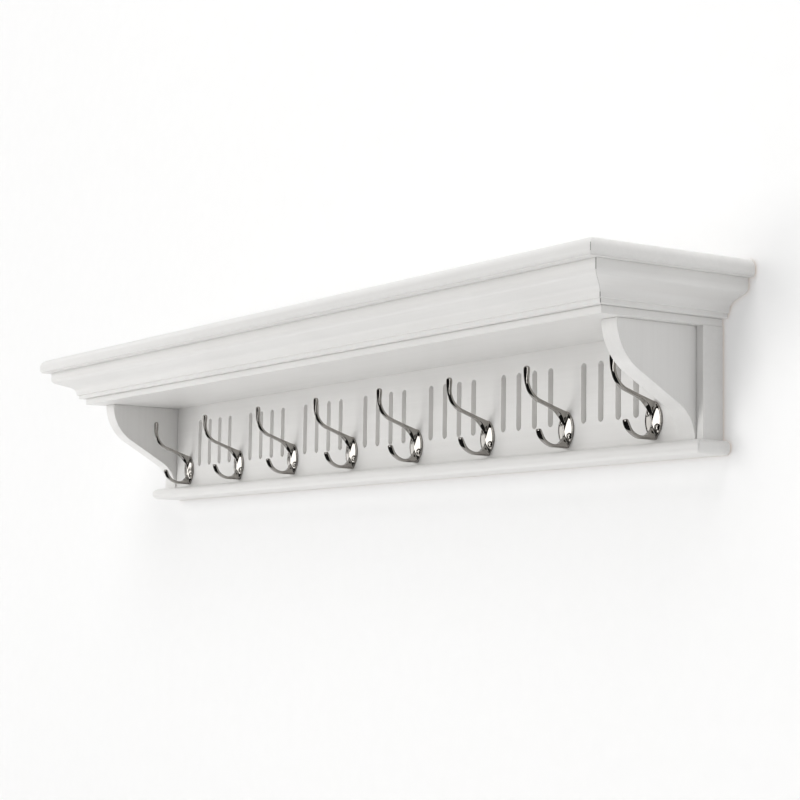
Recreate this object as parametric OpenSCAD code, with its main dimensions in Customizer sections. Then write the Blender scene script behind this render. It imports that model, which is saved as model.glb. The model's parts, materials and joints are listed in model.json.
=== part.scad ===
// Wall coat rack: a moulded shelf on two scrolled corbels, a slotted backboard with a row of
// double coat hooks, and a round-nosed ledge along its foot.
// Lengths are millimetres. +X runs along the rack to the right, +Y goes into the wall, +Z is up.
// The origin is on the wall face, at the middle of the backboard's length and height.

/* [Backboard] */
// Number of double hooks along the rack
hook_count = 8; // [2:1:12]
// Distance between two neighbouring hooks
hook_pitch = 160; // [146:1:220]
// From an outer hook to the end of the backboard
end_margin = 82; // [64:1:140]
// Thickness of the backboard
back_t = 29; // [27:0.5:40]
// Height of the backboard between the ledge and the soffit
back_h = 127; // [124:1:160]

/* [Slots] */
// Number of slots in each gap between two hooks
slots_per_gap = 4; // [1:1:4]
// Distance between two neighbouring slots
slot_pitch = 32; // [14:1:34]
// Width of a slot
slot_w = 10; // [5:0.5:12]
// Length of a slot over its round ends
slot_len = 72; // [30:1:74]
// Depth of a slot
slot_depth = 8; // [2:0.5:9]
// From the soffit down to the top of a slot
slot_drop = 23; // [12:1:25]

/* [Ledge] */
// Thickness of the ledge under the backboard
ledge_t = 16; // [15:0.5:30]
// How far the ledge stands in front of the backboard
ledge_front = 17.5; // [9:0.5:30]
// How far the ledge runs past each end of the backboard
ledge_side = 12; // [9:0.5:30]
// Radius of the ledge's nose, above and below
ledge_r = 7.5; // [2:0.1:7.5]

/* [Corbels] */
// Thickness of a corbel
corbel_t = 27; // [16:0.5:40]
// From the end of the backboard in to the corbel's outer face
corbel_inset = 11; // [2:0.5:30]
// How far the corbel reaches out under the soffit
corbel_reach = 113.5; // [100:0.5:130]
// Thickness left at the corbel's foot
corbel_toe = 2; // [1:0.5:6]
// Slope of the straight stretch of the scroll, in degrees from upright
corbel_slope = 60; // [52:1:65]

/* [Shelf] */
// Thickness of the soffit board
soffit_t = 9; // [6:0.5:16]
// How far the soffit board stands in front of the backboard
soffit_front = 143.5; // [134:0.5:180]
// Height of the moulding between the soffit board and the top board
crown_h = 41; // [39:0.5:60]
// Thickness of the top board
top_t = 20.5; // [18:0.5:30]
// How far the top board stands past the moulding at its two ends
top_side_overhang = 10.3; // [2:0.1:20]
// How far the top board stands past the moulding in front
top_front_overhang = 15.5; // [2:0.1:20]
// Radius of the top board's upper edge
top_upper_r = 11; // [2:0.5:11]
// Radius of the top board's lower edge
top_lower_r = 5.5; // [1:0.5:6]

/* [Moulding] */
// How far the moulding's fillet stands past the soffit board
fillet_out = 8.5; // [4:0.1:11]
// Height of the fillet
fillet_h = 5.4; // [3:0.1:8]
// Step from the fillet out to the start of the cove
cove_step = 2.8; // [0.5:0.1:5]
// Radius of the cove
cove_r = 12; // [8:0.1:14]
// Run of the straight stretch between the cove and the round
neck_run = 17.8; // [16:0.1:22]
// Slope of that stretch, in degrees
neck_slope = 20; // [0:1:25]
// Radius of the round under the fascia
round_r = 7.3; // [3:0.1:7.4]
// How far the moulding lies in over the soffit board
crown_seat = 10; // [6:0.5:20]

/* [Inside the shelf] */
// Number of ribs between the soffit board and the top board
rib_count = 5; // [2:1:9]
// Thickness of a rib
rib_t = 18; // [14:0.5:25]
// Thickness of the cleat along the wall
cleat_t = 18; // [12:0.5:25]

/* [Hook plates] */
// Height of a hook plate's middle above the ledge
hook_rise = 27; // [25:0.5:30]
// Height of the pointed oval plate
plate_h = 44; // [40:0.5:48]
// Width of the plate
plate_w = 29; // [26:0.5:34]
// Height of the plate's ridge
plate_ridge = 4.5; // [4.2:0.1:6]
// Thickness of the plate at its rim
plate_rim = 2; // [1.6:0.1:3]

/* [Hook arms] */
// Thickness of the arms
strap_t = 4; // [3:0.1:5]
// Width of the arms at their narrowest
strap_w = 6; // [4:0.1:8]
// Reach of the upper arm, to the middle of its thickness
upper_reach = 60.5; // [55:0.5:72]
// Height of the upper arm's tip above the plate's middle
upper_rise = 72.5; // [72:0.5:78]
// Height of the upper arm's root above the plate's middle
upper_root = 18.3; // [17:0.1:19.5]
// Radius of the upper arm's bend
upper_bend = 28; // [22:0.5:29]
// Slope of the upper arm where it leaves the plate, in degrees
upper_slope = 18.4; // [12:0.1:20]
// Width of the upper arm's tip
upper_tip_w = 9.2; // [8:0.1:12]
// Reach of the lower arm's tip, to the middle of its thickness
lower_reach = 43.5; // [41:0.5:52]
// Radius of the lower arm's bend
lower_bend = 24; // [20:0.5:25]
// Slope of the lower arm's tip, in degrees
lower_slope = 60; // [50:1:65]
// Width of the lower arm's tip
lower_tip_w = 8; // [7:0.1:11]

/* [Wall fixing] */
// Distance between the two keyhole plates
keyhole_span = 812.8; // [780:0.1:840]
// Height of the keyhole plates' middle above the backboard's middle
keyhole_rise = 22; // [10:1:28]
// Radius of the hole that a wall screw's head goes in through
keyhole_entry_r = 4.5; // [4:0.1:5]
// Half the width of the slot that holds the wall screw
keyhole_slot_r = 2.25; // [2:0.05:2.5]

/* [Hidden] */
$fn = 64;
// Clearance round screws and dowels, and between pieces that slip together
fit_gap = 0.1;
// Overrun of a cut past the face that it opens
cut_run = 1;
// Steps in the outline of a bent arm
arc_steps = 16;

gap_count = hook_count - 1;
back_x = gap_count * hook_pitch / 2 + end_margin;
foot_z = -back_h / 2;
soffit_z = back_h / 2;
cornice_z = soffit_z + soffit_t;
top_z = cornice_z + crown_h;
soffit_y = back_t + soffit_front;
slot_z = soffit_z - slot_drop - slot_len / 2;
hook_z = foot_z + hook_rise;

// Moulding profile: outward steps from the soffit board's edge, and heights over its seat
cove_out = fillet_out + cove_step;
neck_out = cove_out + cove_r * (1 - sin(neck_slope));
round_out = neck_out + neck_run;
crown_out = round_out + round_r * (1 - sin(neck_slope));
cove_lip = 0.6;
cove_z = fillet_h + cove_lip;
neck_z = cove_z + cove_r * cos(neck_slope);
round_foot_z = neck_z + neck_run * tan(neck_slope);
round_z = round_foot_z + round_r * cos(neck_slope);
// Height and width of the flat on the moulding's back, where the slanted back begins and ends
crown_back_h = 10;
crown_top_seat = 18;

// Hollow between the soffit board and the top board, inside the moulding
hollow_x = back_x - crown_seat - fit_gap;
hollow_y = soffit_y - crown_seat - fit_gap;
rib_step = 2 * (hollow_x - rib_t) / (rib_count - 1);
rib_end = hollow_x - rib_t;

// Scroll of the corbel: an upper round and a lower hollow joined by a straight stretch
scroll_w = corbel_reach - corbel_toe;
scroll_r_sum = (back_h * sin(corbel_slope) - scroll_w * cos(corbel_slope)) / (1 - cos(corbel_slope));
upper_r_share = 0.59;
scroll_upper_r = scroll_r_sum * upper_r_share;
scroll_lower_r = scroll_r_sum - scroll_upper_r;

// Hook plate and the webs that blend the arms into its ridge
plate_r = (pow(plate_h / 2, 2) + pow(plate_w / 2, 2)) / plate_w;
web_r = 28;
web_w = 10;
web_wide_z = 18;
web_neck_z = 28;
low_web_r = 14;
low_web_w = 10;
low_web_run = 16;
flare_len = 9;

upper_start = upper_reach - upper_bend * (1 - sin(upper_slope));
upper_start_z = upper_root + upper_start * tan(upper_slope);
upper_centre = [upper_reach - upper_bend, upper_start_z + upper_bend * cos(upper_slope)];
upper_under = upper_root - strap_t / 2 / cos(upper_slope);
web_centre_p = plate_ridge + web_r;
web_centre = [web_centre_p, upper_under + web_centre_p * tan(upper_slope) - web_r / cos(upper_slope)];

lower_drop = 0.5;
lower_z = (strap_t - plate_h) / 2 - lower_drop;
lower_tip_len = 8;
lower_centre_p = lower_reach - lower_tip_len * cos(lower_slope) - lower_bend * sin(lower_slope);
lower_centre = [lower_centre_p, lower_z + lower_bend];
lower_aside = [sin(lower_slope), -cos(lower_slope)];
lower_tip = lower_centre + lower_bend * lower_aside + lower_tip_len * [cos(lower_slope), sin(lower_slope)];
low_web_centre = [plate_ridge + low_web_r, lower_z + strap_t / 2 + low_web_r];

// Hook screws: raised countersunk heads with a cross recess
hook_screw_x = 8.3;
hook_screw_z = 8.5;
hook_screw_len = 19;
hook_screw_r = 1.8;
hook_screw_head_r = 3.2;
hook_screw_head_h = 1.5;
hook_screw_crown = 0.7;
hook_screw_seat = 3.3;
cross_w = 0.8;
cross_l = 3.4;
cross_d = 1.2;

// Wood screws inside the rack
case_screw_len = 45;
case_screw_r = 2;
corbel_screw_len = 60;
corbel_screw_r = 2.5;
screw_head_share = 2;
screw_tip_share = 2;
corbel_screw_drops = [24, 63];
corbel_top_screw_runs = [45, 85];

// Dowels
dowel_r = 4;
dowel_end_gap = 0.5;
ledge_dowel_len = 38;
ledge_dowel_sink = 10;
top_dowel_len = 30;
top_dowel_rise = 12;
top_dowel_margin = 22;

// Keyhole plates in the back of the backboard
keyhole_w = 17;
keyhole_h = 50;
keyhole_t = 2;
keyhole_entry_drop = 8;
keyhole_slot_rise = 10;
keyhole_screw_off = 20;
keyhole_screw_len = 12;
keyhole_screw_r = 1.5;
pocket_w = 12;
pocket_h = 32;
pocket_d = 12;

hook_names = [for (i = [1:hook_count]) str("hook_", i)];
rib_names = [for (i = [1:rib_count]) str("rib_", i)];

function hook_x(i) = (i - (hook_count + 1) / 2) * hook_pitch;
function gap_x(i) = (i - (gap_count + 1) / 2) * hook_pitch;
function rib_x(i) = -rib_end + (i - 1) * rib_step;
function arc(centre, r, a0, a1) = [for (k = [0:arc_steps])
    centre + r * [cos(a0 + (a1 - a0) * k / arc_steps), sin(a0 + (a1 - a0) * k / arc_steps)]];
function both_sides(points) =
    concat(points, [for (i = [len(points) - 1:-1:0]) [-points[i][0], points[i][1]]]);

// Lays flat shapes, each drawn as distance from the wall and height, along X
module along_x(length) {
    rotate([90, 0, -90]) for (k = [0:$children - 1])
        linear_extrude(length, center = true) children(k);
}

// Lays a flat shape, drawn as X and height, from y = 0 towards the room
module into_room(depth) {
    rotate([90, 0, 0]) linear_extrude(depth) children();
}

// Upright slot with round ends
module stadium(w, h) {
    square([w, h - w], center = true);
    for (s = [-1, 1]) translate([0, s * (h - w) / 2]) circle(w / 2);
}

// Edge profile of a board, from x = 0 out to its nose, with an upper and a lower round
module nosed(length, t, upper_r, lower_r) {
    difference() {
        square([length, t]);
        translate([length - upper_r, t - upper_r]) round_off(upper_r);
        translate([length - lower_r, lower_r]) mirror([0, 1]) round_off(lower_r);
    }
}

// What a round of radius r takes off the outer corner of a square
module round_off(r) {
    difference() {
        square(r + cut_run);
        circle(r);
    }
}

// Board with its front and both ends nosed, its back on the wall and its underside at z = 0
module nosed_board(half_x, depth, t, upper_r, lower_r) {
    intersection() {
        along_x(2 * (half_x + cut_run)) nosed(depth, t, upper_r, lower_r);
        into_room(depth + cut_run) {
            nosed(half_x, t, upper_r, lower_r);
            mirror([1, 0]) nosed(half_x, t, upper_r, lower_r);
        }
    }
}

// Wood screw with its head's face at z = 0, pointing down
module screw(length, r, head_r, head_h) {
    tip = r * screw_tip_share;
    translate([0, 0, -head_h]) cylinder(h = head_h, r1 = r, r2 = head_r);
    translate([0, 0, tip - length]) cylinder(h = length - tip - head_h, r = r);
    translate([0, 0, -length]) cylinder(h = tip, r1 = 0, r2 = r);
}

// Room for that screw, open at its head
module screw_room(length, r, head_r, head_h) {
    translate([0, 0, -head_h]) cylinder(h = head_h, r1 = r + fit_gap, r2 = head_r + fit_gap);
    translate([0, 0, -length - fit_gap]) cylinder(h = length, r = r + fit_gap);
    cylinder(h = cut_run, r = head_r + fit_gap);
}

// Cross recess, from z = 0 down
module cross_recess() {
    for (turn = [0, 90]) rotate([0, 0, turn])
        translate([-cross_l / 2, -cross_w / 2, -cross_d]) cube([cross_l, cross_w, cross_d + cut_run]);
}

module case_screw_at(room) {
    head_r = case_screw_r * screw_head_share;
    places = concat([for (i = [1:gap_count]) [gap_x(i), back_t / 2]],
                    [for (s = [-1, 1]) for (run = corbel_top_screw_runs) [s * corbel_mid_x(), back_t + run]]);
    for (p = places) translate([p[0], -p[1], cornice_z]) {
        if (room) screw_room(case_screw_len, case_screw_r, head_r, case_screw_r);
        else difference() {
            screw(case_screw_len, case_screw_r, head_r, case_screw_r);
            cross_recess();
        }
    }
}

function corbel_mid_x() = back_x - corbel_inset - corbel_t / 2;

module corbel_screw_at(room) {
    head_r = corbel_screw_r * screw_head_share;
    for (s = [-1, 1]) for (drop = corbel_screw_drops)
        translate([s * corbel_mid_x(), 0, soffit_z - drop]) rotate([-90, 0, 0]) {
            if (room) screw_room(corbel_screw_len, corbel_screw_r, head_r, corbel_screw_r);
            else difference() {
                screw(corbel_screw_len, corbel_screw_r, head_r, corbel_screw_r);
                cross_recess();
            }
        }
}

module ledge_dowel_at(extra) {
    for (i = [1:gap_count]) translate([gap_x(i), -back_t / 2, foot_z - ledge_dowel_sink - extra])
        cylinder(h = ledge_dowel_len + 2 * extra, r = dowel_r + (extra > 0 ? fit_gap : 0));
}

module top_dowel_at(extra) {
    for (i = [1:rib_count]) for (y = [cleat_t + top_dowel_margin, hollow_y - top_dowel_margin])
        translate([rib_x(i), -y, top_z + top_dowel_rise - top_dowel_len - extra])
            cylinder(h = top_dowel_len + 2 * extra, r = dowel_r + (extra > 0 ? fit_gap : 0));
}

module top_board() color("whitesmoke") difference() {
    translate([0, 0, top_z]) nosed_board(back_x + crown_out + top_side_overhang,
        soffit_y + crown_out + top_front_overhang, top_t, top_upper_r, top_lower_r);
    top_dowel_at(dowel_end_gap);
}

// Section of the moulding, outwards from the soffit board's edge and up from its seat
module crown_section() {
    difference() {
        union() {
            translate([-crown_seat, 0]) square([crown_seat + fillet_out, crown_h]);
            translate([-crown_seat, fillet_h]) square([crown_seat + cove_out, crown_h - fillet_h]);
            difference() {
                translate([0, cove_z]) square([neck_out, crown_h - cove_z]);
                translate([cove_out + cove_r, cove_z]) circle(cove_r);
            }
            polygon([[0, neck_z], [neck_out, neck_z], [round_out, round_foot_z], [round_out, crown_h],
                     [0, crown_h]]);
            translate([0, round_z]) square([crown_out, crown_h - round_z]);
            translate([crown_out - round_r, round_z]) circle(round_r);
        }
        polygon([[-crown_seat - cut_run, crown_back_h], [-crown_seat, crown_back_h],
                 [crown_out - crown_top_seat, crown_h], [crown_out - crown_top_seat, crown_h + cut_run],
                 [-crown_seat - cut_run, crown_h + cut_run]]);
    }
}

module crown_front() color("white") intersection() {
    translate([0, 0, cornice_z]) along_x(2 * (back_x + crown_out))
        translate([soffit_y, 0]) crown_section();
    translate([0, 0, cornice_z]) linear_extrude(crown_h) polygon(both_sides([
        [back_x + crown_out, -soffit_y - crown_out], [back_x - crown_seat, -soffit_y + crown_seat]]));
}

// Right-hand return of the moulding
module crown_return() intersection() {
    translate([back_x, 0, cornice_z]) into_room(soffit_y + crown_out) crown_section();
    translate([0, 0, cornice_z]) linear_extrude(crown_h) polygon([
        [back_x + crown_out, -soffit_y - crown_out], [back_x - crown_seat, -soffit_y + crown_seat],
        [back_x - crown_seat, 0], [back_x + crown_out, 0]]);
}

module crown_right() color("white") crown_return();

module crown_left() color("white") mirror([1, 0, 0]) crown_return();

module soffit_board() color("whitesmoke") difference() {
    translate([-back_x, -soffit_y, soffit_z]) cube([2 * back_x, soffit_y, soffit_t]);
    case_screw_at(true);
}

module hanging_cleat() color("burlywood")
    translate([-hollow_x, -cleat_t, cornice_z]) cube([2 * hollow_x, cleat_t, crown_h]);

module rib(i) color("burlywood") difference() {
    translate([rib_x(i) - rib_t / 2, -hollow_y, cornice_z])
        cube([rib_t, hollow_y - cleat_t, crown_h]);
    top_dowel_at(dowel_end_gap);
}

module backboard() color("whitesmoke") difference() {
    translate([-back_x, -back_t, foot_z]) cube([2 * back_x, back_t, back_h]);
    for (i = [1:gap_count]) for (k = [1:slots_per_gap])
        translate([gap_x(i) + (k - (slots_per_gap + 1) / 2) * slot_pitch, slot_depth - back_t, slot_z])
            into_room(slot_depth + cut_run) stadium(slot_w, slot_len);
    for (s = [-1, 1]) translate([s * keyhole_span / 2, 0, keyhole_rise]) {
        translate([0, cut_run, 0]) into_room(keyhole_t + fit_gap + cut_run)
            stadium(keyhole_w + 2 * fit_gap, keyhole_h + 2 * fit_gap);
        into_room(pocket_d) stadium(pocket_w, pocket_h);
    }
    case_screw_at(true);
    corbel_screw_at(true);
    ledge_dowel_at(dowel_end_gap);
    keyhole_screw_at(true);
    hook_screw_at(true);
}

// Scroll, drawn as distance from the backboard's face and height over the soffit
module scroll() {
    upper = [corbel_reach - scroll_upper_r, 0];
    lower = [corbel_toe + scroll_lower_r, -back_h];
    face = [cos(-corbel_slope), sin(-corbel_slope)];
    difference() {
        along_x(corbel_t) {
            polygon([[0, 0], upper, upper + scroll_upper_r * face, lower - scroll_lower_r * face,
                     lower, [0, -back_h]]);
            intersection() {
                translate(upper) circle(scroll_upper_r);
                translate([0, -back_h]) square([corbel_reach, back_h]);
            }
        }
        along_x(corbel_t + 2 * cut_run) translate(lower) circle(scroll_lower_r);
    }
}

module corbel() difference() {
    translate([corbel_mid_x(), -back_t, soffit_z]) scroll();
    case_screw_at(true);
    corbel_screw_at(true);
}

module corbel_right() color("white") corbel();

module corbel_left() color("white") mirror([1, 0, 0]) corbel();

module bottom_ledge() color("whitesmoke") difference() {
    translate([0, 0, foot_z - ledge_t])
        nosed_board(back_x + ledge_side, back_t + ledge_front, ledge_t, ledge_r, ledge_r);
    ledge_dowel_at(dowel_end_gap);
}

// Pointed oval plate with a ridge down its middle
module hook_plate() intersection() {
    into_room(plate_ridge) intersection() {
        translate([plate_r - plate_w / 2, 0]) circle(plate_r);
        translate([plate_w / 2 - plate_r, 0]) circle(plate_r);
    }
    translate([0, 0, -plate_h / 2]) linear_extrude(plate_h) polygon([[-plate_w / 2, 0],
        [-plate_w / 2, -plate_rim], [0, -plate_ridge], [plate_w / 2, -plate_rim], [plate_w / 2, 0]]);
}

// Side view of the upper arm: the web under its root, the bend, the upright tip and back again
function upper_side() = concat(
    [[0, web_centre[1]]],
    arc(web_centre, web_r, 180, 90 + upper_slope),
    arc(upper_centre, upper_bend + strap_t / 2, upper_slope - 90, 0),
    [[upper_reach + strap_t / 2, upper_rise], [upper_reach - strap_t / 2, upper_rise]],
    arc(upper_centre, upper_bend - strap_t / 2, 0, upper_slope - 90),
    [[0, upper_root + strap_t / 2 / cos(upper_slope)]]);

module upper_arm() intersection() {
    along_x(web_w + cut_run) polygon(upper_side());
    into_room(upper_reach + strap_t) {
        polygon(both_sides([[0, web_centre[1] - cut_run], [web_w / 2, web_wide_z], [strap_w / 2, web_neck_z],
            [strap_w / 2, upper_rise - upper_tip_w / 2 - flare_len], [upper_tip_w / 2, upper_rise - upper_tip_w / 2]]));
        translate([0, upper_rise - upper_tip_w / 2]) circle(upper_tip_w / 2);
    }
}

// Side view of the lower arm: along its underside to the leaning tip, and back along its top
function lower_side() = concat(
    [[0, lower_z - strap_t / 2]],
    arc(lower_centre, lower_bend + strap_t / 2, -90, lower_slope - 90),
    [lower_tip + strap_t / 2 * lower_aside, lower_tip - strap_t / 2 * lower_aside],
    arc(lower_centre, lower_bend - strap_t / 2, lower_slope - 90, -90),
    [[0, lower_z + strap_t / 2]]);

// Side view of the web over the lower arm's root
function low_web_side() = concat(
    [[0, lower_z], [low_web_centre[0], lower_z]],
    arc(low_web_centre, low_web_r, -90, -180),
    [[0, low_web_centre[1]]]);

module lower_arm() {
    tip_p = lower_reach + strap_t / 2 - lower_tip_w / 2;
    intersection() {
        along_x(low_web_w + cut_run) polygon(lower_side());
        translate([0, 0, -plate_h]) linear_extrude(2 * plate_h) {
            polygon(both_sides([[low_web_w / 2, 0], [strap_w / 2, -low_web_run], [strap_w / 2, flare_len - tip_p],
                [lower_tip_w / 2, -tip_p]]));
            translate([0, -tip_p]) circle(lower_tip_w / 2);
        }
    }
    intersection() {
        along_x(low_web_w + cut_run) polygon(low_web_side());
        into_room(low_web_centre[0]) polygon([[-low_web_w / 2, lower_z - strap_t / 2],
            [0, low_web_centre[1] + cut_run], [low_web_w / 2, lower_z - strap_t / 2]]);
        translate([0, 0, -plate_h]) linear_extrude(2 * plate_h)
            polygon(both_sides([[low_web_w / 2, 0], [strap_w / 2, -low_web_run],
                                [strap_w / 2, -low_web_centre[0]]]));
    }
}

module hook(i) color("silver") difference() {
    translate([hook_x(i), -back_t, hook_z]) {
        hook_plate();
        upper_arm();
        lower_arm();
    }
    hook_screw_at(true);
}

// Two screws in each hook plate, one low on the right flank and one high on the left
module hook_screw_at(room) {
    for (i = [1:hook_count]) for (s = [-1, 1])
        translate([hook_x(i) + s * hook_screw_x, -back_t - hook_screw_seat, hook_z - s * hook_screw_z])
            rotate([90, 0, 0]) {
                if (room) {
                    screw_room(hook_screw_len, hook_screw_r, hook_screw_head_r, hook_screw_head_h);
                    cylinder(h = plate_ridge, r = hook_screw_head_r + fit_gap);
                }
                else hook_screw();
            }
}

module hook_screw() {
    crown_r = (pow(hook_screw_head_r, 2) + pow(hook_screw_crown, 2)) / 2 / hook_screw_crown;
    difference() {
        union() {
            screw(hook_screw_len, hook_screw_r, hook_screw_head_r, hook_screw_head_h);
            intersection() {
                translate([0, 0, hook_screw_crown - crown_r]) sphere(crown_r);
                cylinder(h = hook_screw_crown, r = hook_screw_head_r);
            }
        }
        translate([0, 0, hook_screw_crown]) cross_recess();
    }
}

module hook_screws() color("gainsboro") hook_screw_at(false);

module case_screws() color("gray") case_screw_at(false);

module corbel_screws() color("gray") corbel_screw_at(false);

module ledge_dowels() color("tan") ledge_dowel_at(0);

module top_dowels() color("tan") top_dowel_at(0);

module keyhole_plate(s) color("silver") translate([s * keyhole_span / 2, 0, keyhole_rise]) difference() {
    into_room(keyhole_t) stadium(keyhole_w, keyhole_h);
    translate([0, cut_run, 0]) into_room(keyhole_t + 2 * cut_run) {
        translate([0, -keyhole_entry_drop]) circle(keyhole_entry_r);
        translate([-keyhole_slot_r, -keyhole_entry_drop])
            square([2 * keyhole_slot_r, keyhole_entry_drop + keyhole_slot_rise]);
        translate([0, keyhole_slot_rise]) circle(keyhole_slot_r);
    }
    for (t = [-1, 1]) translate([0, 0, t * keyhole_screw_off]) rotate([-90, 0, 0])
        screw_room(keyhole_screw_len, keyhole_screw_r, keyhole_screw_r * screw_head_share, keyhole_screw_r);
}

module keyhole_screw_at(room) {
    head_r = keyhole_screw_r * screw_head_share;
    for (s = [-1, 1]) for (t = [-1, 1])
        translate([s * keyhole_span / 2, 0, keyhole_rise + t * keyhole_screw_off]) rotate([-90, 0, 0]) {
            if (room) screw_room(keyhole_screw_len, keyhole_screw_r, head_r, keyhole_screw_r);
            else screw(keyhole_screw_len, keyhole_screw_r, head_r, keyhole_screw_r);
        }
}

module keyhole_screws() color("gray") keyhole_screw_at(false);

top_board();
crown_front();
crown_left();
crown_right();
soffit_board();
hanging_cleat();
for (i = [1:rib_count]) rib(i);
backboard();
corbel_left();
corbel_right();
bottom_ledge();
for (i = [1:hook_count]) hook(i);
hook_screws();
case_screws();
corbel_screws();
ledge_dowels();
top_dowels();
keyhole_plate(-1);  // keyhole_plate_left
keyhole_plate(1);  // keyhole_plate_right
keyhole_screws();
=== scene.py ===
"""A white painted wall coat rack: mouldings, slotted backboard, cast hooks and finishes.

Lengths are metres. +X runs along the rack to the right, +Y goes into the wall and +Z is up. The origin is on
the wall's face, at the middle of the backboard.
"""
import sys
import json
import logging
import math
from dataclasses import dataclass
from enum import Enum
from itertools import product
from typing import Any, Callable, Iterable, Sequence

import bmesh
import bpy
import numpy as np
from mathutils import Matrix, Quaternion, Vector

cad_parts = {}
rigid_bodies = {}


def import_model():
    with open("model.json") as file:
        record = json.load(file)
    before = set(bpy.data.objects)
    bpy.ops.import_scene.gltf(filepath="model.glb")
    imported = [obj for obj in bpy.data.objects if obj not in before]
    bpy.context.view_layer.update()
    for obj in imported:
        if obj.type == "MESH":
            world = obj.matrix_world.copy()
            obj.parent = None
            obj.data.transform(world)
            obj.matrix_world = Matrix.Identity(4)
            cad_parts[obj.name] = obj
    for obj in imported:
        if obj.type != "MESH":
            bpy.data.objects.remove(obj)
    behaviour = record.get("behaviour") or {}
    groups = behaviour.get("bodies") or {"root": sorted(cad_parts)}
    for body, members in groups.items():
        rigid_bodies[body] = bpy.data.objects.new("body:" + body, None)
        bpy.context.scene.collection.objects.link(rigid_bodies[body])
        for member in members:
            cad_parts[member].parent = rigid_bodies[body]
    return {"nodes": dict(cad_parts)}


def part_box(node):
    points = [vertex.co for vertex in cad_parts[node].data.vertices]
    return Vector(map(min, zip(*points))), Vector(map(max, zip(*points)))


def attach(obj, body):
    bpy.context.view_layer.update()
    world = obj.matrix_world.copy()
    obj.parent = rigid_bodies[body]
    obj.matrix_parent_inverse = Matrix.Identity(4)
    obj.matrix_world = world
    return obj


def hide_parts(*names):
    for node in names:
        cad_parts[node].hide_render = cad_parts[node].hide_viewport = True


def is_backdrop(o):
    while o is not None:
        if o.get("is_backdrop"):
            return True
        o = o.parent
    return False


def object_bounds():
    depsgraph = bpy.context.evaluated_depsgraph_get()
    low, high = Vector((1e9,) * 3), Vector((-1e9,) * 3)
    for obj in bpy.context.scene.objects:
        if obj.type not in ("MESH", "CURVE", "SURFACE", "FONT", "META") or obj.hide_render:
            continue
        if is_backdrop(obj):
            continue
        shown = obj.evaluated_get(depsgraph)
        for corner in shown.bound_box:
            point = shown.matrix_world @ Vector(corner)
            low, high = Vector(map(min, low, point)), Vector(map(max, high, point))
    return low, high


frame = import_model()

Array = np.ndarray
Flags = tuple[bpy.types.Collection, bpy.types.Collection]
Material = bpy.types.Material
Piece = bpy.types.Object
Point = tuple[float, float]
Socket = bpy.types.NodeSocket
Triple = tuple[float, float, float]

BODY = "root"
BLACK = (0.0, 0.0, 0.0)
ORIGIN = (0.0, 0.0, 0.0)
WHITE = (1.0, 1.0, 1.0)
FINE_STEPS = 3
ROUND_STEPS = 14
LARGE_RADIUS = 0.002

log = logging.getLogger("coat_rack")


class Way(Enum):
    """Direction in which a board's brush marks and grain run."""

    ALONG_X = (0.012, 1.0, 1.0)
    ALONG_Y = (1.0, 0.012, 1.0)
    ALONG_Z = (1.0, 1.0, 0.012)


class Slot(Enum):
    """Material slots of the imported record, for the pieces that are made here."""

    PAINTED = "painted_wood"
    NICKEL = "polished_nickel"


# Node trees


class Graph:
    """A node tree that grows call by call. Each call gives the socket that the next one needs."""

    def __init__(self, tree: bpy.types.NodeTree) -> None:
        """Empties the tree."""
        self.tree = tree
        tree.nodes.clear()

    def node(self, kind: str, inputs: dict[Any, Any] | None = None, **settings: Any) -> bpy.types.Node:
        """Adds one node, with its settings, its links and its constants.

        Args:
            kind: Blender's name of the node's class.
            inputs: Socket name or number to a value, or to the output socket that feeds it.
            settings: Properties of the node itself.

        Returns:
            The new node.
        """
        node = self.tree.nodes.new(kind)
        for name, value in settings.items():
            setattr(node, name, value)
        for key, value in (inputs or {}).items():
            if isinstance(value, Socket):
                self.tree.links.new(value, node.inputs[key])
            else:
                node.inputs[key].default_value = value
        return node

    def math(self, operation: str, *values: Any) -> Socket:
        """Works out one operation on values."""
        return self.node("ShaderNodeMath", dict(enumerate(values)), operation=operation).outputs[0]

    def total(self, *terms: tuple[Any, float]) -> Socket:
        """Adds up values, each times its weight.

        Args:
            terms: Each value with its weight.

        Returns:
            The sum.
        """
        result: Any = 0.0
        for value, weight in terms:
            result = self.math("MULTIPLY_ADD", value, weight, result)
        return result

    def remap(self, value: Socket, source: Point, target: Point = (0.0, 1.0)) -> Socket:
        """Maps a value from one range to another, clamped."""
        return self.node("ShaderNodeMapRange", dict(enumerate((value, *source, *target)))).outputs[0]

    def vector(self, x: Any = 0.0, y: Any = 0.0, z: Any = 0.0) -> Socket:
        """Joins three values to a vector."""
        return self.node("ShaderNodeCombineXYZ", {0: x, 1: y, 2: z}).outputs[0]

    def axis(self, vector: Socket, name: str) -> Socket:
        """Takes one value out of a vector."""
        return self.node("ShaderNodeSeparateXYZ", {0: vector}).outputs[name]


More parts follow.
